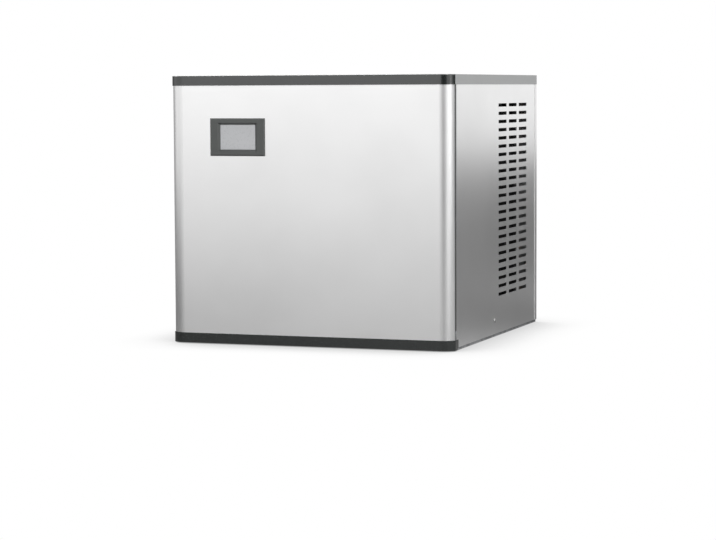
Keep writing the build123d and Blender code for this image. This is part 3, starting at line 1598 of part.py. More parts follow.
switch_rocker.part = switch_rocker.part.rotate(rocker_axis, rocker_tilt)
switch_rocker.part.label = "switch_rocker"
export_step(switch_rocker.part, "parts/switch_rocker.step")

# Panel screws: one round head low on each side panel and two rows on the rear
side_screw_y = front_y + depth / 2 - 14.0
side_screw_z = 31.0
rear_screw_z = side_clearance + 12.0
with BuildPart() as panel_screws:
    with BuildSketch(facing_side(side_half + seat)):
        with Locations((side_screw_y, side_screw_z)):
            Circle(screw_head)
    extrude(amount=screw_thick)
    with BuildSketch(facing_side(-side_half - seat)):
        with Locations((side_screw_y, side_screw_z)):
            Circle(screw_head)
    extrude(amount=-screw_thick)
    with BuildSketch(facing_front(rear_y + seat)):
        with Locations((0, height - top_trim_height / 2)):
            with GridLocations(screw_pitch, 0, 3, 1):
                Circle(screw_head)
        with Locations((0, rear_screw_z)):
            with GridLocations(screw_pitch, 0, 3, 1):
                Circle(screw_head)
    extrude(amount=-screw_thick)
panel_screws.part.label = "panel_screws"
export_step(panel_screws.part, "parts/panel_screws.step")
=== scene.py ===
import json
import math

import bmesh
import bpy
from mathutils import Matrix, Vector


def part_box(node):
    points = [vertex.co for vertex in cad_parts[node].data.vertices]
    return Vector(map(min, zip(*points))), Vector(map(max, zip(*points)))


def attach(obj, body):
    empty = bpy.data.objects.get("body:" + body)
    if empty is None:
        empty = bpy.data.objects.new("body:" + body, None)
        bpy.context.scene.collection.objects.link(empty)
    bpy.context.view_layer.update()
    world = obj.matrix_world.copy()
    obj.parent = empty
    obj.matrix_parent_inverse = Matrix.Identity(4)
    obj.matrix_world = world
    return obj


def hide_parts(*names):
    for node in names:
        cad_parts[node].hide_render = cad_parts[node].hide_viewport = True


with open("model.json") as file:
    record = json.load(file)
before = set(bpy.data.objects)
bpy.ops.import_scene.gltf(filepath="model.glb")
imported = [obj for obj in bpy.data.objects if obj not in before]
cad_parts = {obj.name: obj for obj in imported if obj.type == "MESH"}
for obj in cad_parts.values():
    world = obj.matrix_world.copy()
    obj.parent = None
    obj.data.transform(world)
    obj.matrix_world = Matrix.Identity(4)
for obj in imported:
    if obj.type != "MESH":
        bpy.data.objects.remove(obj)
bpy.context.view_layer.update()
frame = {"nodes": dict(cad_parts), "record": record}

# Sizes of the pieces that are dressed here, in metres, as in the part
condenser_low, condenser_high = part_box("condenser")
header_radius = 0.012
tube_count = 24
tube_first = 0.066
tube_pitch = 0.0162
tube_thickness = 0.003
fin_pitch = 0.0034
fin_thickness = 0.00025
fin_lean = 0.16
screw_radius = 0.0042
screw_rise = 0.0014
side_x = 0.2782
side_screw_y = -0.02425
side_screw_z = 0.031
rear_screw_y = 0.27995
rear_screw_pitch = 0.250
rear_screw_heights = (0.017, 0.49575)


def new_finish(name, colour, roughness, metallic=0.0, coat=0.0, specular=0.5):
    """A material with its plain values set, and its tree and shader for the pattern."""
    material = bpy.data.materials.new(name)
    material.use_nodes = True
    tree = material.node_tree
    shader = tree.nodes["Principled BSDF"]
    shader.inputs["Base Color"].default_value = (*colour, 1.0)
    shader.inputs["Roughness"].default_value = roughness
    shader.inputs["Metallic"].default_value = metallic
    shader.inputs["Coat Weight"].default_value = coat
    shader.inputs["Coat Roughness"].default_value = 0.12
    shader.inputs["Specular IOR Level"].default_value = specular
    return material, tree, shader


def stretched_place(tree, stretch):
    """The piece's own coordinates, stretched so that a pattern follows the rolling direction."""
    coordinates = tree.nodes.new("ShaderNodeTexCoord")
    mapping = tree.nodes.new("ShaderNodeMapping")
    mapping.inputs["Scale"].default_value = stretch
    tree.links.new(coordinates.outputs["Object"], mapping.inputs["Vector"])
    return mapping.outputs["Vector"]


def cloud(tree, place, scale, detail=3.0, rough=0.55):
    """A soft noise between 0 and 1."""
    noise = tree.nodes.new("ShaderNodeTexNoise")
    noise.inputs["Scale"].default_value = scale
    noise.inputs["Detail"].default_value = detail
    noise.inputs["Roughness"].default_value = rough
    tree.links.new(place, noise.inputs["Vector"])
    return noise.outputs["Fac"]


def between(tree, value, low, high):
    """Takes the middle of a noise to the range from low to high."""
    spread = tree.nodes.new("ShaderNodeMapRange")
    spread.inputs["From Min"].default_value = 0.3
    spread.inputs["From Max"].default_value = 0.7
    spread.inputs["To Min"].default_value = low
    spread.inputs["To Max"].default_value = high
    tree.links.new(value, spread.inputs["Value"])
    return spread.outputs["Result"]


def two_tones(tree, value, dark, light):
    """A colour that runs from dark to light with the value."""
    ramp = tree.nodes.new("ShaderNodeValToRGB")
    ramp.color_ramp.elements[0].position = 0.3
    ramp.color_ramp.elements[0].color = (*dark, 1.0)
    ramp.color_ramp.elements[1].position = 0.7
    ramp.color_ramp.elements[1].color = (*light, 1.0)
    tree.links.new(value, ramp.inputs["Fac"])
    return ramp.outputs["Color"]


def relief(tree, shader, value, strength, depth):
    """A fine relief on the surface."""
    bump = tree.nodes.new("ShaderNodeBump")
    bump.inputs["Strength"].default_value = strength
    bump.inputs["Distance"].default_value = depth
    tree.links.new(value, bump.inputs["Height"])
    tree.links.new(bump.outputs["Normal"], shader.inputs["Normal"])


def shade_of(colour, factor):
    return tuple(min(1.0, channel * factor) for channel in colour)


def rolled_sheet(name, colour, roughness, grain):
    """Bare sheet metal with a fine rolling grain and a soft cloudiness."""
    material, tree, shader = new_finish(name, colour, roughness, metallic=1.0)
    grain_place = stretched_place(tree, grain)
    streaks = cloud(tree, grain_place, 1.0, detail=4.0, rough=0.7)
    haze = cloud(tree, stretched_place(tree, (1.0, 1.0, 1.0)), 6.0, detail=2.0)
    tree.links.new(two_tones(tree, haze, shade_of(colour, 0.97), shade_of(colour, 1.02)), shader.inputs["Base Color"])
    tree.links.new(between(tree, streaks, roughness - 0.03, roughness + 0.03), shader.inputs["Roughness"])
    relief(tree, shader, streaks, 0.06, 0.0002)
    return material


def coated(name, colour, roughness, grain_size=900.0, strength=0.08, coat=0.0):
    """Painted or enamelled metal with a faint orange peel."""
    material, tree, shader = new_finish(name, colour, roughness, coat=coat)
    place = stretched_place(tree, (1.0, 1.0, 1.0))
    peel = cloud(tree, place, grain_size, detail=2.0)
    haze = cloud(tree, place, 9.0)
    tree.links.new(two_tones(tree, haze, shade_of(colour, 0.93), shade_of(colour, 1.05)), shader.inputs["Base Color"])
    tree.links.new(between(tree, haze, roughness - 0.04, roughness + 0.04), shader.inputs["Roughness"])
    relief(tree, shader, peel, strength, 0.0003)
    return material


def spangled_zinc(name):
    """Zinc coated sheet with its pattern of flat crystals."""
    colour = (0.44, 0.45, 0.46)
    material, tree, shader = new_finish(name, colour, 0.42, metallic=1.0)
    place = stretched_place(tree, (1.0, 1.0, 1.0))
    crystals = tree.nodes.new("ShaderNodeTexVoronoi")
    crystals.inputs["Scale"].default_value = 90.0
    tree.links.new(place, crystals.inputs["Vector"])
    split = tree.nodes.new("ShaderNodeSeparateColor")
    tree.links.new(crystals.outputs["Color"], split.inputs["Color"])
    tone = split.outputs["Red"]
    tree.links.new(two_tones(tree, tone, shade_of(colour, 0.85), shade_of(colour, 1.15)), shader.inputs["Base Color"])
    tree.links.new(between(tree, tone, 0.36, 0.5), shader.inputs["Roughness"])
    relief(tree, shader, tone, 0.05, 0.0002)
    return material


def moulded(name, colour, roughness, grain=1400.0, strength=0.10, specular=0.5, coat=0.0):
    """Moulded plastic with its fine spark grain."""
    material, tree, shader = new_finish(name, colour, roughness, coat=coat, specular=specular)
    place = stretched_place(tree, (1.0, 1.0, 1.0))
    spark = cloud(tree, place, grain, detail=2.0, rough=0.6)
    flow = cloud(tree, place, 14.0)
    tree.links.new(two_tones(tree, flow, shade_of(colour, 0.95), shade_of(colour, 1.04)), shader.inputs["Base Color"])
    tree.links.new(between(tree, spark, roughness - 0.05, roughness + 0.05), shader.inputs["Roughness"])
    relief(tree, shader, spark, strength, 0.0002)
    return material


def rubbery(name, colour):
    """Soft rubber: dull, with a dusty bloom."""
    material, tree, shader = new_finish(name, colour, 0.75, specular=0.3)
    place = stretched_place(tree, (1.0, 1.0, 1.0))
    bloom = cloud(tree, place, 60.0, detail=5.0)
    skin = cloud(tree, place, 1100.0, detail=2.0)
    tree.links.new(two_tones(tree, bloom, shade_of(colour, 0.85), shade_of(colour, 1.25)), shader.inputs["Base Color"])
    relief(tree, shader, skin, 0.15, 0.0003)
    return material


def drawn_metal(name, colour, roughness, stain, stain_scale=40.0):
    """Tube or turned metal with a drawn grain and darker tarnish in patches."""
    material, tree, shader = new_finish(name, colour, roughness, metallic=1.0)
    place = stretched_place(tree, (1.0, 1.0, 1.0))
    tarnish = cloud(tree, place, stain_scale, detail=5.0, rough=0.65)
    tree.links.new(two_tones(tree, tarnish, stain, colour), shader.inputs["Base Color"])
    tree.links.new(between(tree, tarnish, roughness + 0.12, roughness), shader.inputs["Roughness"])
    relief(tree, shader, cloud(tree, place, 800.0, detail=2.0), 0.05, 0.0002)
    return material


def circuit_board(name):
    """A green board with its copper tracks under the lacquer."""
    material, tree, shader = new_finish(name, (0.02, 0.16, 0.07), 0.32, coat=0.4)
    place = stretched_place(tree, (1.0, 1.0, 1.0))
    tracks = tree.nodes.new("ShaderNodeTexVoronoi")
    tracks.distance = "CHEBYCHEV"
    tracks.feature = "F2"
    tracks.inputs["Scale"].default_value = 120.0
    tree.links.new(place, tracks.inputs["Vector"])
    lines = tree.nodes.new("ShaderNodeValToRGB")
    lines.color_ramp.interpolation = "CONSTANT"
    lines.color_ramp.elements[0].color = (0.015, 0.10, 0.045, 1.0)
    lines.color_ramp.elements[1].position = 0.62
    lines.color_ramp.elements[1].color = (0.05, 0.26, 0.11, 1.0)
    tree.links.new(tracks.outputs["Distance"], lines.inputs["Fac"])
    tree.links.new(lines.outputs["Color"], shader.inputs["Base Color"])
    relief(tree, shader, tracks.outputs["Distance"], 0.1, 0.0002)
    return material


def see_through(name, colour, roughness):
    """Clear moulded plastic with a milky skin."""
    material, tree, shader = new_finish(name, colour, roughness, specular=0.5)
    shader.inputs["Transmission Weight"].default_value = 0.55
    shader.inputs["IOR"].default_value = 1.45
    place = stretched_place(tree, (1.0, 1.0, 1.0))
    milk = cloud(tree, place, 25.0, detail=3.0)
    tree.links.new(two_tones(tree, milk, shade_of(colour, 0.96), colour), shader.inputs["Base Color"])
    tree.links.new(between(tree, milk, roughness - 0.05, roughness + 0.08), shader.inputs["Roughness"])
    relief(tree, shader, milk, 0.04, 0.0005)
    return material


finishes = {
    "satin_steel": rolled_sheet("satin_steel", (0.92, 0.92, 0.92), 0.36, (14.0, 14.0, 1500.0)),
    "cover_steel": coated("cover_steel", (0.24, 0.245, 0.245), 0.42),
    "zinc_sheet": spangled_zinc("zinc_sheet"),
    "dark_frame": coated("dark_frame", (0.03, 0.03, 0.032), 0.45),
    "dark_trim": moulded("dark_trim", (0.0105, 0.0128, 0.0122), 0.2, specular=1.0),
    "bezel_plastic": moulded("bezel_plastic", (0.056, 0.060, 0.058), 0.4),
    "screen_glass": moulded("screen_glass", (0.375, 0.38, 0.39), 0.3, grain=300.0, strength=0.02),
    "circuit_board": circuit_board("circuit_board"),
    "foam_lining": moulded("foam_lining", (0.80, 0.80, 0.79), 0.6, grain=260.0, strength=0.3),
    "liner_plastic": moulded("liner_plastic", (0.80, 0.81, 0.81), 0.3, grain=60.0, strength=0.05),
    "soft_seal": rubbery("soft_seal", (0.02, 0.02, 0.021)),
    "nickel_plate": drawn_metal("nickel_plate", (0.72, 0.70, 0.66), 0.26, (0.58, 0.56, 0.52), 30.0),
    "copper_pipe": drawn_metal("copper_pipe", (0.80, 0.42, 0.26), 0.3, (0.42, 0.19, 0.10)),
    "brass_fitting": drawn_metal("brass_fitting", (0.78, 0.60, 0.30), 0.28, (0.50, 0.36, 0.16)),
    "clear_plastic": see_through("clear_plastic", (0.82, 0.88, 0.93), 0.22),
    "black_plastic": moulded("black_plastic", (0.02, 0.02, 0.022), 0.42),
    "white_plastic": moulded("white_plastic", (0.78, 0.78, 0.77), 0.42),
    "hose_rubber": rubbery("hose_rubber", (0.55, 0.56, 0.55)),
    "black_enamel": coated("black_enamel", (0.012, 0.012, 0.013), 0.28, grain_size=500.0, coat=0.4),
    # Near-black condenser fins: painted shade, so the vent slots in the side panels read dark
    "coated_fins": coated("coated_fins", (0.007, 0.007, 0.0075), 0.6),
    "alloy": drawn_metal("alloy", (0.80, 0.80, 0.81), 0.38, (0.66, 0.66, 0.67), 50.0),
    "magnet_steel": drawn_metal("magnet_steel", (0.16, 0.16, 0.17), 0.5, (0.10, 0.10, 0.10), 90.0),
    "screw_steel": drawn_metal("screw_steel", (0.78, 0.78, 0.77), 0.22, (0.60, 0.60, 0.58), 200.0),
}

# Each solid takes the finish of its slot in the record
for entry in frame["record"]["subparts"]:
    solid = frame["nodes"][entry["node"]]
    if not solid.material_slots:
        solid.data.materials.append(None)
    for holder in solid.material_slots:
        holder.link = "OBJECT"
        holder.material = finishes[entry["material_slot"]]


def tree_socket(tree, name, kind, value):
    """Adds a named input to a node group and returns its identifier."""
    socket = tree.interface.new_socket(name=name, in_out="INPUT", socket_type=kind)
    if value is not None:
        socket.default_value = value
    return socket.identifier


def made_plain(worker, modifier, name):
    """The worker's evaluated result as a plain mesh object, without its modifier."""
    depsgraph = bpy.context.evaluated_depsgraph_get()
    result = bpy.data.meshes.new_from_object(worker.evaluated_get(depsgraph))
    worker.modifiers.remove(modifier)
    bpy.data.objects.remove(worker)
    piece = bpy.data.objects.new(name, result)
    bpy.context.scene.collection.objects.link(piece)
    return piece


def worker_with(tree, mesh, values):
    """An object that carries the node group, with its inputs set by identifier."""
    worker = bpy.data.objects.new(tree.name + "_worker", mesh)
    bpy.context.scene.collection.objects.link(worker)
    modifier = worker.modifiers.new(tree.name, "NODES")
    modifier.node_group = tree
    for identifier, value in values.items():
        modifier[identifier] = value
    return worker, modifier


def condenser_fins():
    """Folded fins between the flat tubes of the condenser: a grid of thin leaning leaves."""
    tree = bpy.data.node_groups.new("condenser_fins", "GeometryNodeTree")
    tree.interface.new_socket(name="Geometry", in_out="INPUT", socket_type="NodeSocketGeometry")
    tree.interface.new_socket(name="Geometry", in_out="OUTPUT", socket_type="NodeSocketGeometry")
    length_id = tree_socket(tree, "Row Length", "NodeSocketFloat", 0.1)
    height_id = tree_socket(tree, "Stack Height", "NodeSocketFloat", 0.1)
    across_id = tree_socket(tree, "Fins In A Row", "NodeSocketInt", 10)
    rows_id = tree_socket(tree, "Rows", "NodeSocketInt", 4)
    leaf_id = tree_socket(tree, "Leaf Size", "NodeSocketVector", (0.02, 0.0003, 0.01))
    lean_id = tree_socket(tree, "Lean", "NodeSocketFloat", 0.1)
    middle_id = tree_socket(tree, "Middle", "NodeSocketVector", (0.0, 0.0, 0.0))
    nodes, links = tree.nodes, tree.links
    entry = nodes.new("NodeGroupInput")
    grid = nodes.new("GeometryNodeMeshGrid")
    links.new(entry.outputs["Row Length"], grid.inputs["Size X"])
    links.new(entry.outputs["Stack Height"], grid.inputs["Size Y"])
    links.new(entry.outputs["Fins In A Row"], grid.inputs["Vertices X"])
    links.new(entry.outputs["Rows"], grid.inputs["Vertices Y"])
    upright = nodes.new("GeometryNodeTransform")
    upright.inputs["Rotation"].default_value = (math.pi / 2, 0.0, math.pi / 2)
    links.new(grid.outputs["Mesh"], upright.inputs["Geometry"])
    links.new(entry.outputs["Middle"], upright.inputs["Translation"])
    leaf = nodes.new("GeometryNodeMeshCube")
    links.new(entry.outputs["Leaf Size"], leaf.inputs["Size"])
    column = nodes.new("GeometryNodeInputIndex")
    row = nodes.new("ShaderNodeMath")
    row.operation = "DIVIDE"
    links.new(column.outputs["Index"], row.inputs[0])
    links.new(entry.outputs["Rows"], row.inputs[1])
    whole = nodes.new("ShaderNodeMath")
    whole.operation = "FLOOR"
    links.new(row.outputs["Value"], whole.inputs[0])
    parity = nodes.new("ShaderNodeMath")
    parity.operation = "PINGPONG"
    parity.inputs[1].default_value = 1.0
    links.new(whole.outputs["Value"], parity.inputs[0])
    signed = nodes.new("ShaderNodeMath")
    signed.operation = "MULTIPLY_ADD"
    signed.inputs[1].default_value = 2.0
    signed.inputs[2].default_value = -1.0
    links.new(parity.outputs["Value"], signed.inputs[0])
    leaning = nodes.new("ShaderNodeMath")
    leaning.operation = "MULTIPLY"
    links.new(signed.outputs["Value"], leaning.inputs[0])
    links.new(entry.outputs["Lean"], leaning.inputs[1])
    turn = nodes.new("ShaderNodeCombineXYZ")
    links.new(leaning.outputs["Value"], turn.inputs["X"])
    placed = nodes.new("GeometryNodeInstanceOnPoints")
    links.new(upright.outputs["Geometry"], placed.inputs["Points"])
    links.new(leaf.outputs["Mesh"], placed.inputs["Instance"])
    links.new(turn.outputs["Vector"], placed.inputs["Rotation"])
    real = nodes.new("GeometryNodeRealizeInstances")
    links.new(placed.outputs["Instances"], real.inputs["Geometry"])
    # The fins take the near-black finish, a painted shade behind the vent slots
    paint = nodes.new("GeometryNodeSetMaterial")
    paint.inputs["Material"].default_value = finishes["coated_fins"]
    links.new(real.outputs["Geometry"], paint.inputs["Geometry"])
    leave = nodes.new("NodeGroupOutput")
    links.new(paint.outputs["Geometry"], leave.inputs["Geometry"])
    row_length = (condenser_high.y - condenser_low.y) - 4 * header_radius
    middle_z = tube_first + (tube_count - 1) * tube_pitch / 2
    depth = condenser_high.x - condenser_low.x - 0.001
    leaf_height = (tube_pitch - tube_thickness) / math.cos(fin_lean) - 0.0004
    worker, modifier = worker_with(
        tree,
        bpy.data.meshes.new("fin_seed"),
        {
            length_id: row_length,
            height_id: (tube_count - 2) * tube_pitch,
            across_id: int(row_length / fin_pitch),
            rows_id: tube_count - 1,
            leaf_id: (depth, fin_thickness, leaf_height),
            lean_id: fin_lean,
            middle_id: ((condenser_low.x + condenser_high.x) / 2, (condenser_low.y + condenser_high.y) / 2, middle_z),
        },
    )
    return made_plain(worker, modifier, "condenser_fins")


def screw_head_mesh():
    """One pan head with a cross recess, its seat at the origin and its top along Z."""
    mesh = bpy.data.meshes.new("screw_head")
    shape = bmesh.new()
    around = 16
    rings = []
    profile = ((1.0, 0.0), (1.0, 0.35), (0.86, 0.78), (0.62, 0.97))
    for share, rise in profile:
        ring = []
        for step in range(around):
            angle = 2 * math.pi * step / around
            corner = Vector((math.cos(angle), math.sin(angle), 0)) * screw_radius * share
            ring.append(shape.verts.new(corner + Vector((0, 0, screw_rise * rise))))
        rings.append(ring)
    arm, waist = screw_radius * 0.52, screw_radius * 0.13
    cross = []
    for step in range(around):
        quarter, place = divmod(step, 4)
        turn = Matrix.Rotation(quarter * math.pi / 2, 3, "Z")
        corner = {
            0: Vector((arm, 0.0, 0)),
            1: Vector((arm * 0.96, waist, 0)),
            2: Vector((waist, waist, 0)),
            3: Vector((waist, arm * 0.96, 0)),
        }[place]
        cross.append(turn @ corner)
    top = [shape.verts.new(corner + Vector((0, 0, screw_rise))) for corner in cross]
    floor = [shape.verts.new(corner * 0.8 + Vector((0, 0, screw_rise * 0.4))) for corner in cross]
    rings.append(top)
    rings.append(floor)
    for lower, upper in zip(rings, rings[1:]):
        for step in range(around):
            nxt = (step + 1) % around
            shape.faces.new((lower[step], lower[nxt], upper[nxt], upper[step]))
    shape.faces.new(list(reversed(rings[0])))
    shape.faces.new(floor)
    bmesh.ops.triangulate(shape, faces=[f for f in shape.faces if len(f.verts) > 4])
    bmesh.ops.recalc_face_normals(shape, faces=shape.faces)
    shape.to_mesh(mesh)
    shape.free()
    return mesh


def panel_screws():
    """The pan heads on the side panels and the rear, one head set on each place."""
    tree = bpy.data.node_groups.new("panel_screws", "GeometryNodeTree")
    tree.interface.new_socket(name="Geometry", in_out="INPUT", socket_type="NodeSocketGeometry")
    tree.interface.new_socket(name="Geometry", in_out="OUTPUT", socket_type="NodeSocketGeometry")
    head_id = tree_socket(tree, "Head", "NodeSocketObject", None)
    nodes, links = tree.nodes, tree.links
    entry = nodes.new("NodeGroupInput")
    facing = nodes.new("GeometryNodeInputNamedAttribute")
    facing.data_type = "FLOAT_VECTOR"
    facing.inputs["Name"].default_value = "facing"
    align = nodes.new("FunctionNodeAlignRotationToVector")
    align.axis = "Z"
    links.new(facing.outputs["Attribute"], align.inputs["Vector"])
    head = nodes.new("GeometryNodeObjectInfo")
    head.inputs["As Instance"].default_value = True
    links.new(entry.outputs["Head"], head.inputs["Object"])
    placed = nodes.new("GeometryNodeInstanceOnPoints")
    links.new(entry.outputs["Geometry"], placed.inputs["Points"])
    links.new(head.outputs["Geometry"], placed.inputs["Instance"])
    links.new(align.outputs["Rotation"], placed.inputs["Rotation"])
    real = nodes.new("GeometryNodeRealizeInstances")
    links.new(placed.outputs["Instances"], real.inputs["Geometry"])
    paint = nodes.new("GeometryNodeSetMaterial")
    paint.inputs["Material"].default_value = finishes["screw_steel"]
    links.new(real.outputs["Geometry"], paint.inputs["Geometry"])
    leave = nodes.new("NodeGroupOutput")
    links.new(paint.outputs["Geometry"], leave.inputs["Geometry"])
    places = [((side_x, side_screw_y, side_screw_z), (1, 0, 0)), ((-side_x, side_screw_y, side_screw_z), (-1, 0, 0))]
    for height in rear_screw_heights:
        for step in (-1, 0, 1):
            places.append(((step * rear_screw_pitch, rear_screw_y, height), (0, 1, 0)))
    seed = bpy.data.meshes.new("screw_places")
    seed.from_pydata([place for place, way in places], [], [])
    ways = seed.attributes.new("facing", "FLOAT_VECTOR", "POINT")
    for point, (place, way) in zip(ways.data, places):
        point.vector = way
    head_object = bpy.data.objects.new("one_head", screw_head_mesh())
    bpy.context.scene.collection.objects.link(head_object)
    worker, modifier = worker_with(tree, seed, {head_id: head_object})
    piece = made_plain(worker, modifier, "panel_screw_heads")
    bpy.data.objects.remove(head_object)
    return piece


fins = condenser_fins()
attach(fins, "cabinet")

screws = panel_screws()
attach(screws, "cabinet")
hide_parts("panel_screws")

# Floor: white to the camera and in the metal, with a soft shade where the object stands
floor_size = 40.0
floor_mesh = bpy.data.meshes.new("floor")
floor_mesh.from_pydata(
    [(-floor_size, -floor_size, -0.0005), (floor_size, -floor_size, -0.0005), (floor_size, floor_size, -0.0005), (-floor_size, floor_size, -0.0005)],
    [],
    [(0, 1, 2, 3)],
)
floor = bpy.data.objects.new("floor", floor_mesh)
bpy.context.scene.collection.objects.link(floor)
floor_material = bpy.data.materials.new("floor_paper")
floor_material.use_nodes = True
floor_tree = floor_material.node_tree
floor_tree.nodes.clear()
paper = floor_tree.nodes.new("ShaderNodeBsdfDiffuse")
paper.inputs["Color"].default_value = (0.72, 0.72, 0.72, 1.0)
glow = floor_tree.nodes.new("ShaderNodeEmission")
glow.inputs["Strength"].default_value = 1.0
shade = floor_tree.nodes.new("ShaderNodeAmbientOcclusion")
shade.inputs["Distance"].default_value = 0.14
shade.samples = 8
shade_ramp = floor_tree.nodes.new("ShaderNodeValToRGB")
shade_ramp.color_ramp.elements[0].color = (0.30, 0.30, 0.30, 1.0)
shade_ramp.color_ramp.elements[1].position = 0.92
shade_ramp.color_ramp.elements[1].color = (1.0, 1.0, 1.0, 1.0)
path = floor_tree.nodes.new("ShaderNodeLightPath")
seen_or_glossy = floor_tree.nodes.new("ShaderNodeMath")
seen_or_glossy.operation = "MAXIMUM"
seen = floor_tree.nodes.new("ShaderNodeMath")
seen.operation = "MAXIMUM"
mix = floor_tree.nodes.new("ShaderNodeMixShader")
leave = floor_tree.nodes.new("ShaderNodeOutputMaterial")
floor_tree.links.new(shade.outputs["AO"], shade_ramp.inputs["Fac"])
floor_tree.links.new(path.outputs["Is Camera Ray"], seen_or_glossy.inputs[0])
floor_tree.links.new(path.outputs["Is Glossy Ray"], seen_or_glossy.inputs[1])
floor_tree.links.new(seen_or_glossy.outputs["Value"], seen.inputs[0])
floor_tree.links.new(path.outputs["Is Transmission Ray"], seen.inputs[1])
floor_tree.links.new(seen.outputs["Value"], mix.inputs["Fac"])
floor_tree.links.new(paper.outputs["BSDF"], mix.inputs[1])
floor_tree.links.new(glow.outputs["Emission"], mix.inputs[2])
floor_tree.links.new(mix.outputs["Shader"], leave.inputs["Surface"])
# In the metal the floor carries a painted shade that deepens towards the object, more so at its right side
floor_place = floor_tree.nodes.new("ShaderNodeTexCoord")
painted_shade_place = floor_tree.nodes.new("ShaderNodeMapping")
painted_shade_place.inputs["Scale"].default_value = (0.22, 0.22, 0.0)
painted_shade_place.inputs["Location"].default_value = (0.25, 0.13, 0.0)
painted_shade_falloff = floor_tree.nodes.new("ShaderNodeTexGradient")
painted_shade_falloff.gradient_type = "SPHERICAL"
right_painted_shade_place = floor_tree.nodes.new("ShaderNodeMapping")
right_painted_shade_place.inputs["Scale"].default_value = (0.5, 0.5, 0.0)
right_painted_shade_place.inputs["Location"].default_value = (-0.3, -0.2, 0.0)
right_painted_shade_falloff = floor_tree.nodes.new("ShaderNodeTexGradient")
right_painted_shade_falloff.gradient_type = "SPHERICAL"
deepest_painted_shade = floor_tree.nodes.new("ShaderNodeMath")
deepest_painted_shade.operation = "MAXIMUM"
painted_shade_ramp = floor_tree.nodes.new("ShaderNodeValToRGB")
painted_shade_ramp.color_ramp.elements[0].position = 0.0
painted_shade_ramp.color_ramp.elements[0].color = (1.0, 1.0, 1.0, 1.0)
painted_shade_ramp.color_ramp.elements[1].position = 0.9
painted_shade_ramp.color_ramp.elements[1].color = (0.13, 0.13, 0.13, 1.0)
by_path = floor_tree.nodes.new("ShaderNodeMix")
by_path.data_type = "RGBA"
floor_tree.links.new(floor_place.outputs["Object"], painted_shade_place.inputs["Vector"])
floor_tree.links.new(painted_shade_place.outputs["Vector"], painted_shade_falloff.inputs["Vector"])
floor_tree.links.new(floor_place.outputs["Object"], right_painted_shade_place.inputs["Vector"])
floor_tree.links.new(right_painted_shade_place.outputs["Vector"], right_painted_shade_falloff.inputs["Vector"])
floor_tree.links.new(painted_shade_falloff.outputs["Fac"], deepest_painted_shade.inputs[0])
floor_tree.links.new(right_painted_shade_falloff.outputs["Fac"], deepest_painted_shade.inputs[1])
floor_tree.links.new(deepest_painted_shade.outputs["Value"], painted_shade_ramp.inputs["Fac"])
# Glossy rays see the painted shade; camera and transmission rays see the white with its soft shade under the object
floor_tree.links.new(path.outputs["Is Glossy Ray"], by_path.inputs["Factor"])
floor_tree.links.new(shade_ramp.outputs["Color"], by_path.inputs["A"])
floor_tree.links.new(painted_shade_ramp.outputs["Color"], by_path.inputs["B"])
floor_tree.links.new(by_path.outputs["Result"], glow.inputs["Color"])
floor_mesh.materials.append(floor_material)


def card(name, middle, width, height, facing, grey):
    """A studio card that shows only in the shine of the metal."""
    mesh = bpy.data.meshes.new(name)
    across = Vector((0, 0, 1)).cross(facing).normalized() * (width / 2)
    up = Vector((0, 0, height / 2))
    centre = Vector(middle)
    mesh.from_pydata([centre - across - up, centre + across - up, centre + across + up, centre - across + up], [], [(0, 1, 2, 3)])
    board = bpy.data.objects.new(name, mesh)
    bpy.context.scene.collection.objects.link(board)
    material = bpy.data.materials.new(name)
    material.use_nodes = True
    tree = material.node_tree
    tree.nodes.clear()
    tone = tree.nodes.new("ShaderNodeEmission")
    tone.inputs["Color"].default_value = (grey, grey, grey, 1.0)
    out = tree.nodes.new("ShaderNodeOutputMaterial")
    tree.links.new(tone.outputs["Emission"], out.inputs["Surface"])
    mesh.materials.append(material)
    board.visible_camera = False
    board.visible_diffuse = False
    board.visible_shadow = False
    board.visible_transmission = False
    return board


def around_the_object(azimuth, distance, height):
    angle = math.radians(azimuth)
    return Vector((math.sin(angle) * distance, -math.cos(angle) * distance, height))


def facing_the_object(azimuth):
    angle = math.radians(azimuth)
    return Vector((-math.sin(angle), math.cos(angle), 0))


card("dark_card_by_camera", around_the_object(21, 1.9, 1.1), 1.05, 2.2, facing_the_object(21), 0.0)
card("dark_card_left", around_the_object(-105, 3.0, 1.2), 1.6, 2.6, facing_the_object(-105), 0.3)
card("dark_card_right", around_the_object(112, 2.5, 1.0), 1.3, 2.0, facing_the_object(112), 0.02)
card("light_card_front", around_the_object(-14, 3.5, 1.5), 2.2, 2.2, facing_the_object(-14), 1.4)
card("low_card_right", around_the_object(150, 1.35, 0.11), 2.6, 0.40, facing_the_object(150), 0.12)
card("grey_card_right", around_the_object(85, 2.6, 1.0), 1.2, 2.0, facing_the_object(85), 0.1)
card("light_strip_right", around_the_object(60, 2.4, 1.1), 0.16, 2.2, facing_the_object(60), 3.5)
card("low_card_rear_left", around_the_object(215, 1.6, 0.10), 2.4, 0.30, facing_the_object(215), 0.25)
card("low_card_left", around_the_object(285, 1.6, 0.10), 2.2, 0.30, facing_the_object(285), 0.25)
card("low_card_side", around_the_object(80, 1.6, 0.10), 1.8, 0.30, facing_the_object(80), 0.25)

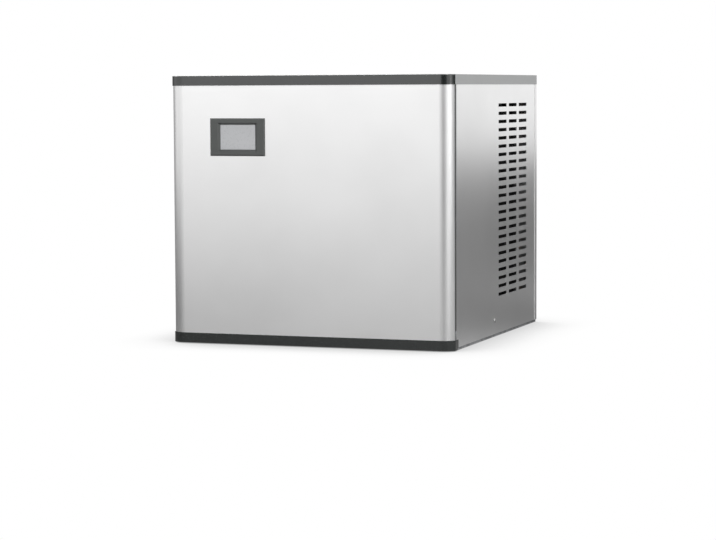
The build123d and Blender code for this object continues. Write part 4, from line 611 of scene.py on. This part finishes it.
# World: white where it is seen, and a plain soft level where it lights
world = bpy.data.worlds.new("studio")
bpy.context.scene.world = world
world.use_nodes = True
world_tree = world.node_tree
world_tree.nodes.clear()
soft = world_tree.nodes.new("ShaderNodeBackground")
soft.inputs["Color"].default_value = (1.0, 1.0, 1.0, 1.0)
soft.inputs["Strength"].default_value = 0.4
white = world_tree.nodes.new("ShaderNodeBackground")
white.inputs["Color"].default_value = (1.0, 1.0, 1.0, 1.0)
white.inputs["Strength"].default_value = 1.0
world_path = world_tree.nodes.new("ShaderNodeLightPath")
world_first = world_tree.nodes.new("ShaderNodeMath")
world_first.operation = "MAXIMUM"
world_seen = world_tree.nodes.new("ShaderNodeMath")
world_seen.operation = "MAXIMUM"
world_mix = world_tree.nodes.new("ShaderNodeMixShader")
world_out = world_tree.nodes.new("ShaderNodeOutputWorld")
world_tree.links.new(world_path.outputs["Is Camera Ray"], world_first.inputs[0])
world_tree.links.new(world_path.outputs["Is Glossy Ray"], world_first.inputs[1])
world_tree.links.new(world_first.outputs["Value"], world_seen.inputs[0])
world_tree.links.new(world_path.outputs["Is Transmission Ray"], world_seen.inputs[1])
world_tree.links.new(world_seen.outputs["Value"], world_mix.inputs["Fac"])
world_tree.links.new(soft.outputs["Background"], world_mix.inputs[1])
world_tree.links.new(white.outputs["Background"], world_mix.inputs[2])
world_tree.links.new(world_mix.outputs["Shader"], world_out.inputs["Surface"])


def softbox(name, place, target, width, height, power):
    """A rectangular soft lamp aimed at a point of the object."""
    data = bpy.data.lights.new(name, "AREA")
    data.shape = "RECTANGLE"
    data.size = width
    data.size_y = height
    data.energy = power
    lamp = bpy.data.objects.new(name, data)
    lamp.location = place
    lamp.rotation_euler = (Vector(target) - Vector(place)).to_track_quat("-Z", "Y").to_euler()
    bpy.context.scene.collection.objects.link(lamp)
    return lamp


softbox("key_lamp", (1.9, -2.9, 2.7), (0.0, 0.0, 0.3), 1.3, 1.3, 150.0)
softbox("side_lamp", (3.4, 0.6, 2.4), (0.0, 0.0, 0.25), 1.4, 1.4, 35.0)
softbox("rear_lamp", (-1.8, 2.8, 2.4), (0.0, 0.0, 0.25), 1.6, 1.2, 80.0)

# Camera at the photograph's place
camera_azimuth = math.radians(19.67)
camera_elevation = math.radians(4.54)
camera_roll = math.radians(-0.28)
camera_place = Vector((1.5109, -4.2569, 0.4800))
away = Vector(
    (
        math.sin(camera_azimuth) * math.cos(camera_elevation),
        -math.cos(camera_azimuth) * math.cos(camera_elevation),
        math.sin(camera_elevation),
    )
)
level_right = Vector((0, 0, 1)).cross(away).normalized()
level_up = away.cross(level_right)
camera_right = level_right * math.cos(camera_roll) + level_up * math.sin(camera_roll)
camera_up = away.cross(camera_right)
camera_data = bpy.data.cameras.new("camera")
camera_data.sensor_width = 36.0
camera_data.lens = 115.0
camera = bpy.data.objects.new("camera", camera_data)
camera.matrix_world = Matrix(
    (
        (camera_right.x, camera_up.x, away.x, camera_place.x),
        (camera_right.y, camera_up.y, away.y, camera_place.y),
        (camera_right.z, camera_up.z, away.z, camera_place.z),
        (0, 0, 0, 1),
    )
)
bpy.context.scene.collection.objects.link(camera)
bpy.context.scene.camera = camera
bpy.context.scene.view_settings.view_transform = "Standard"
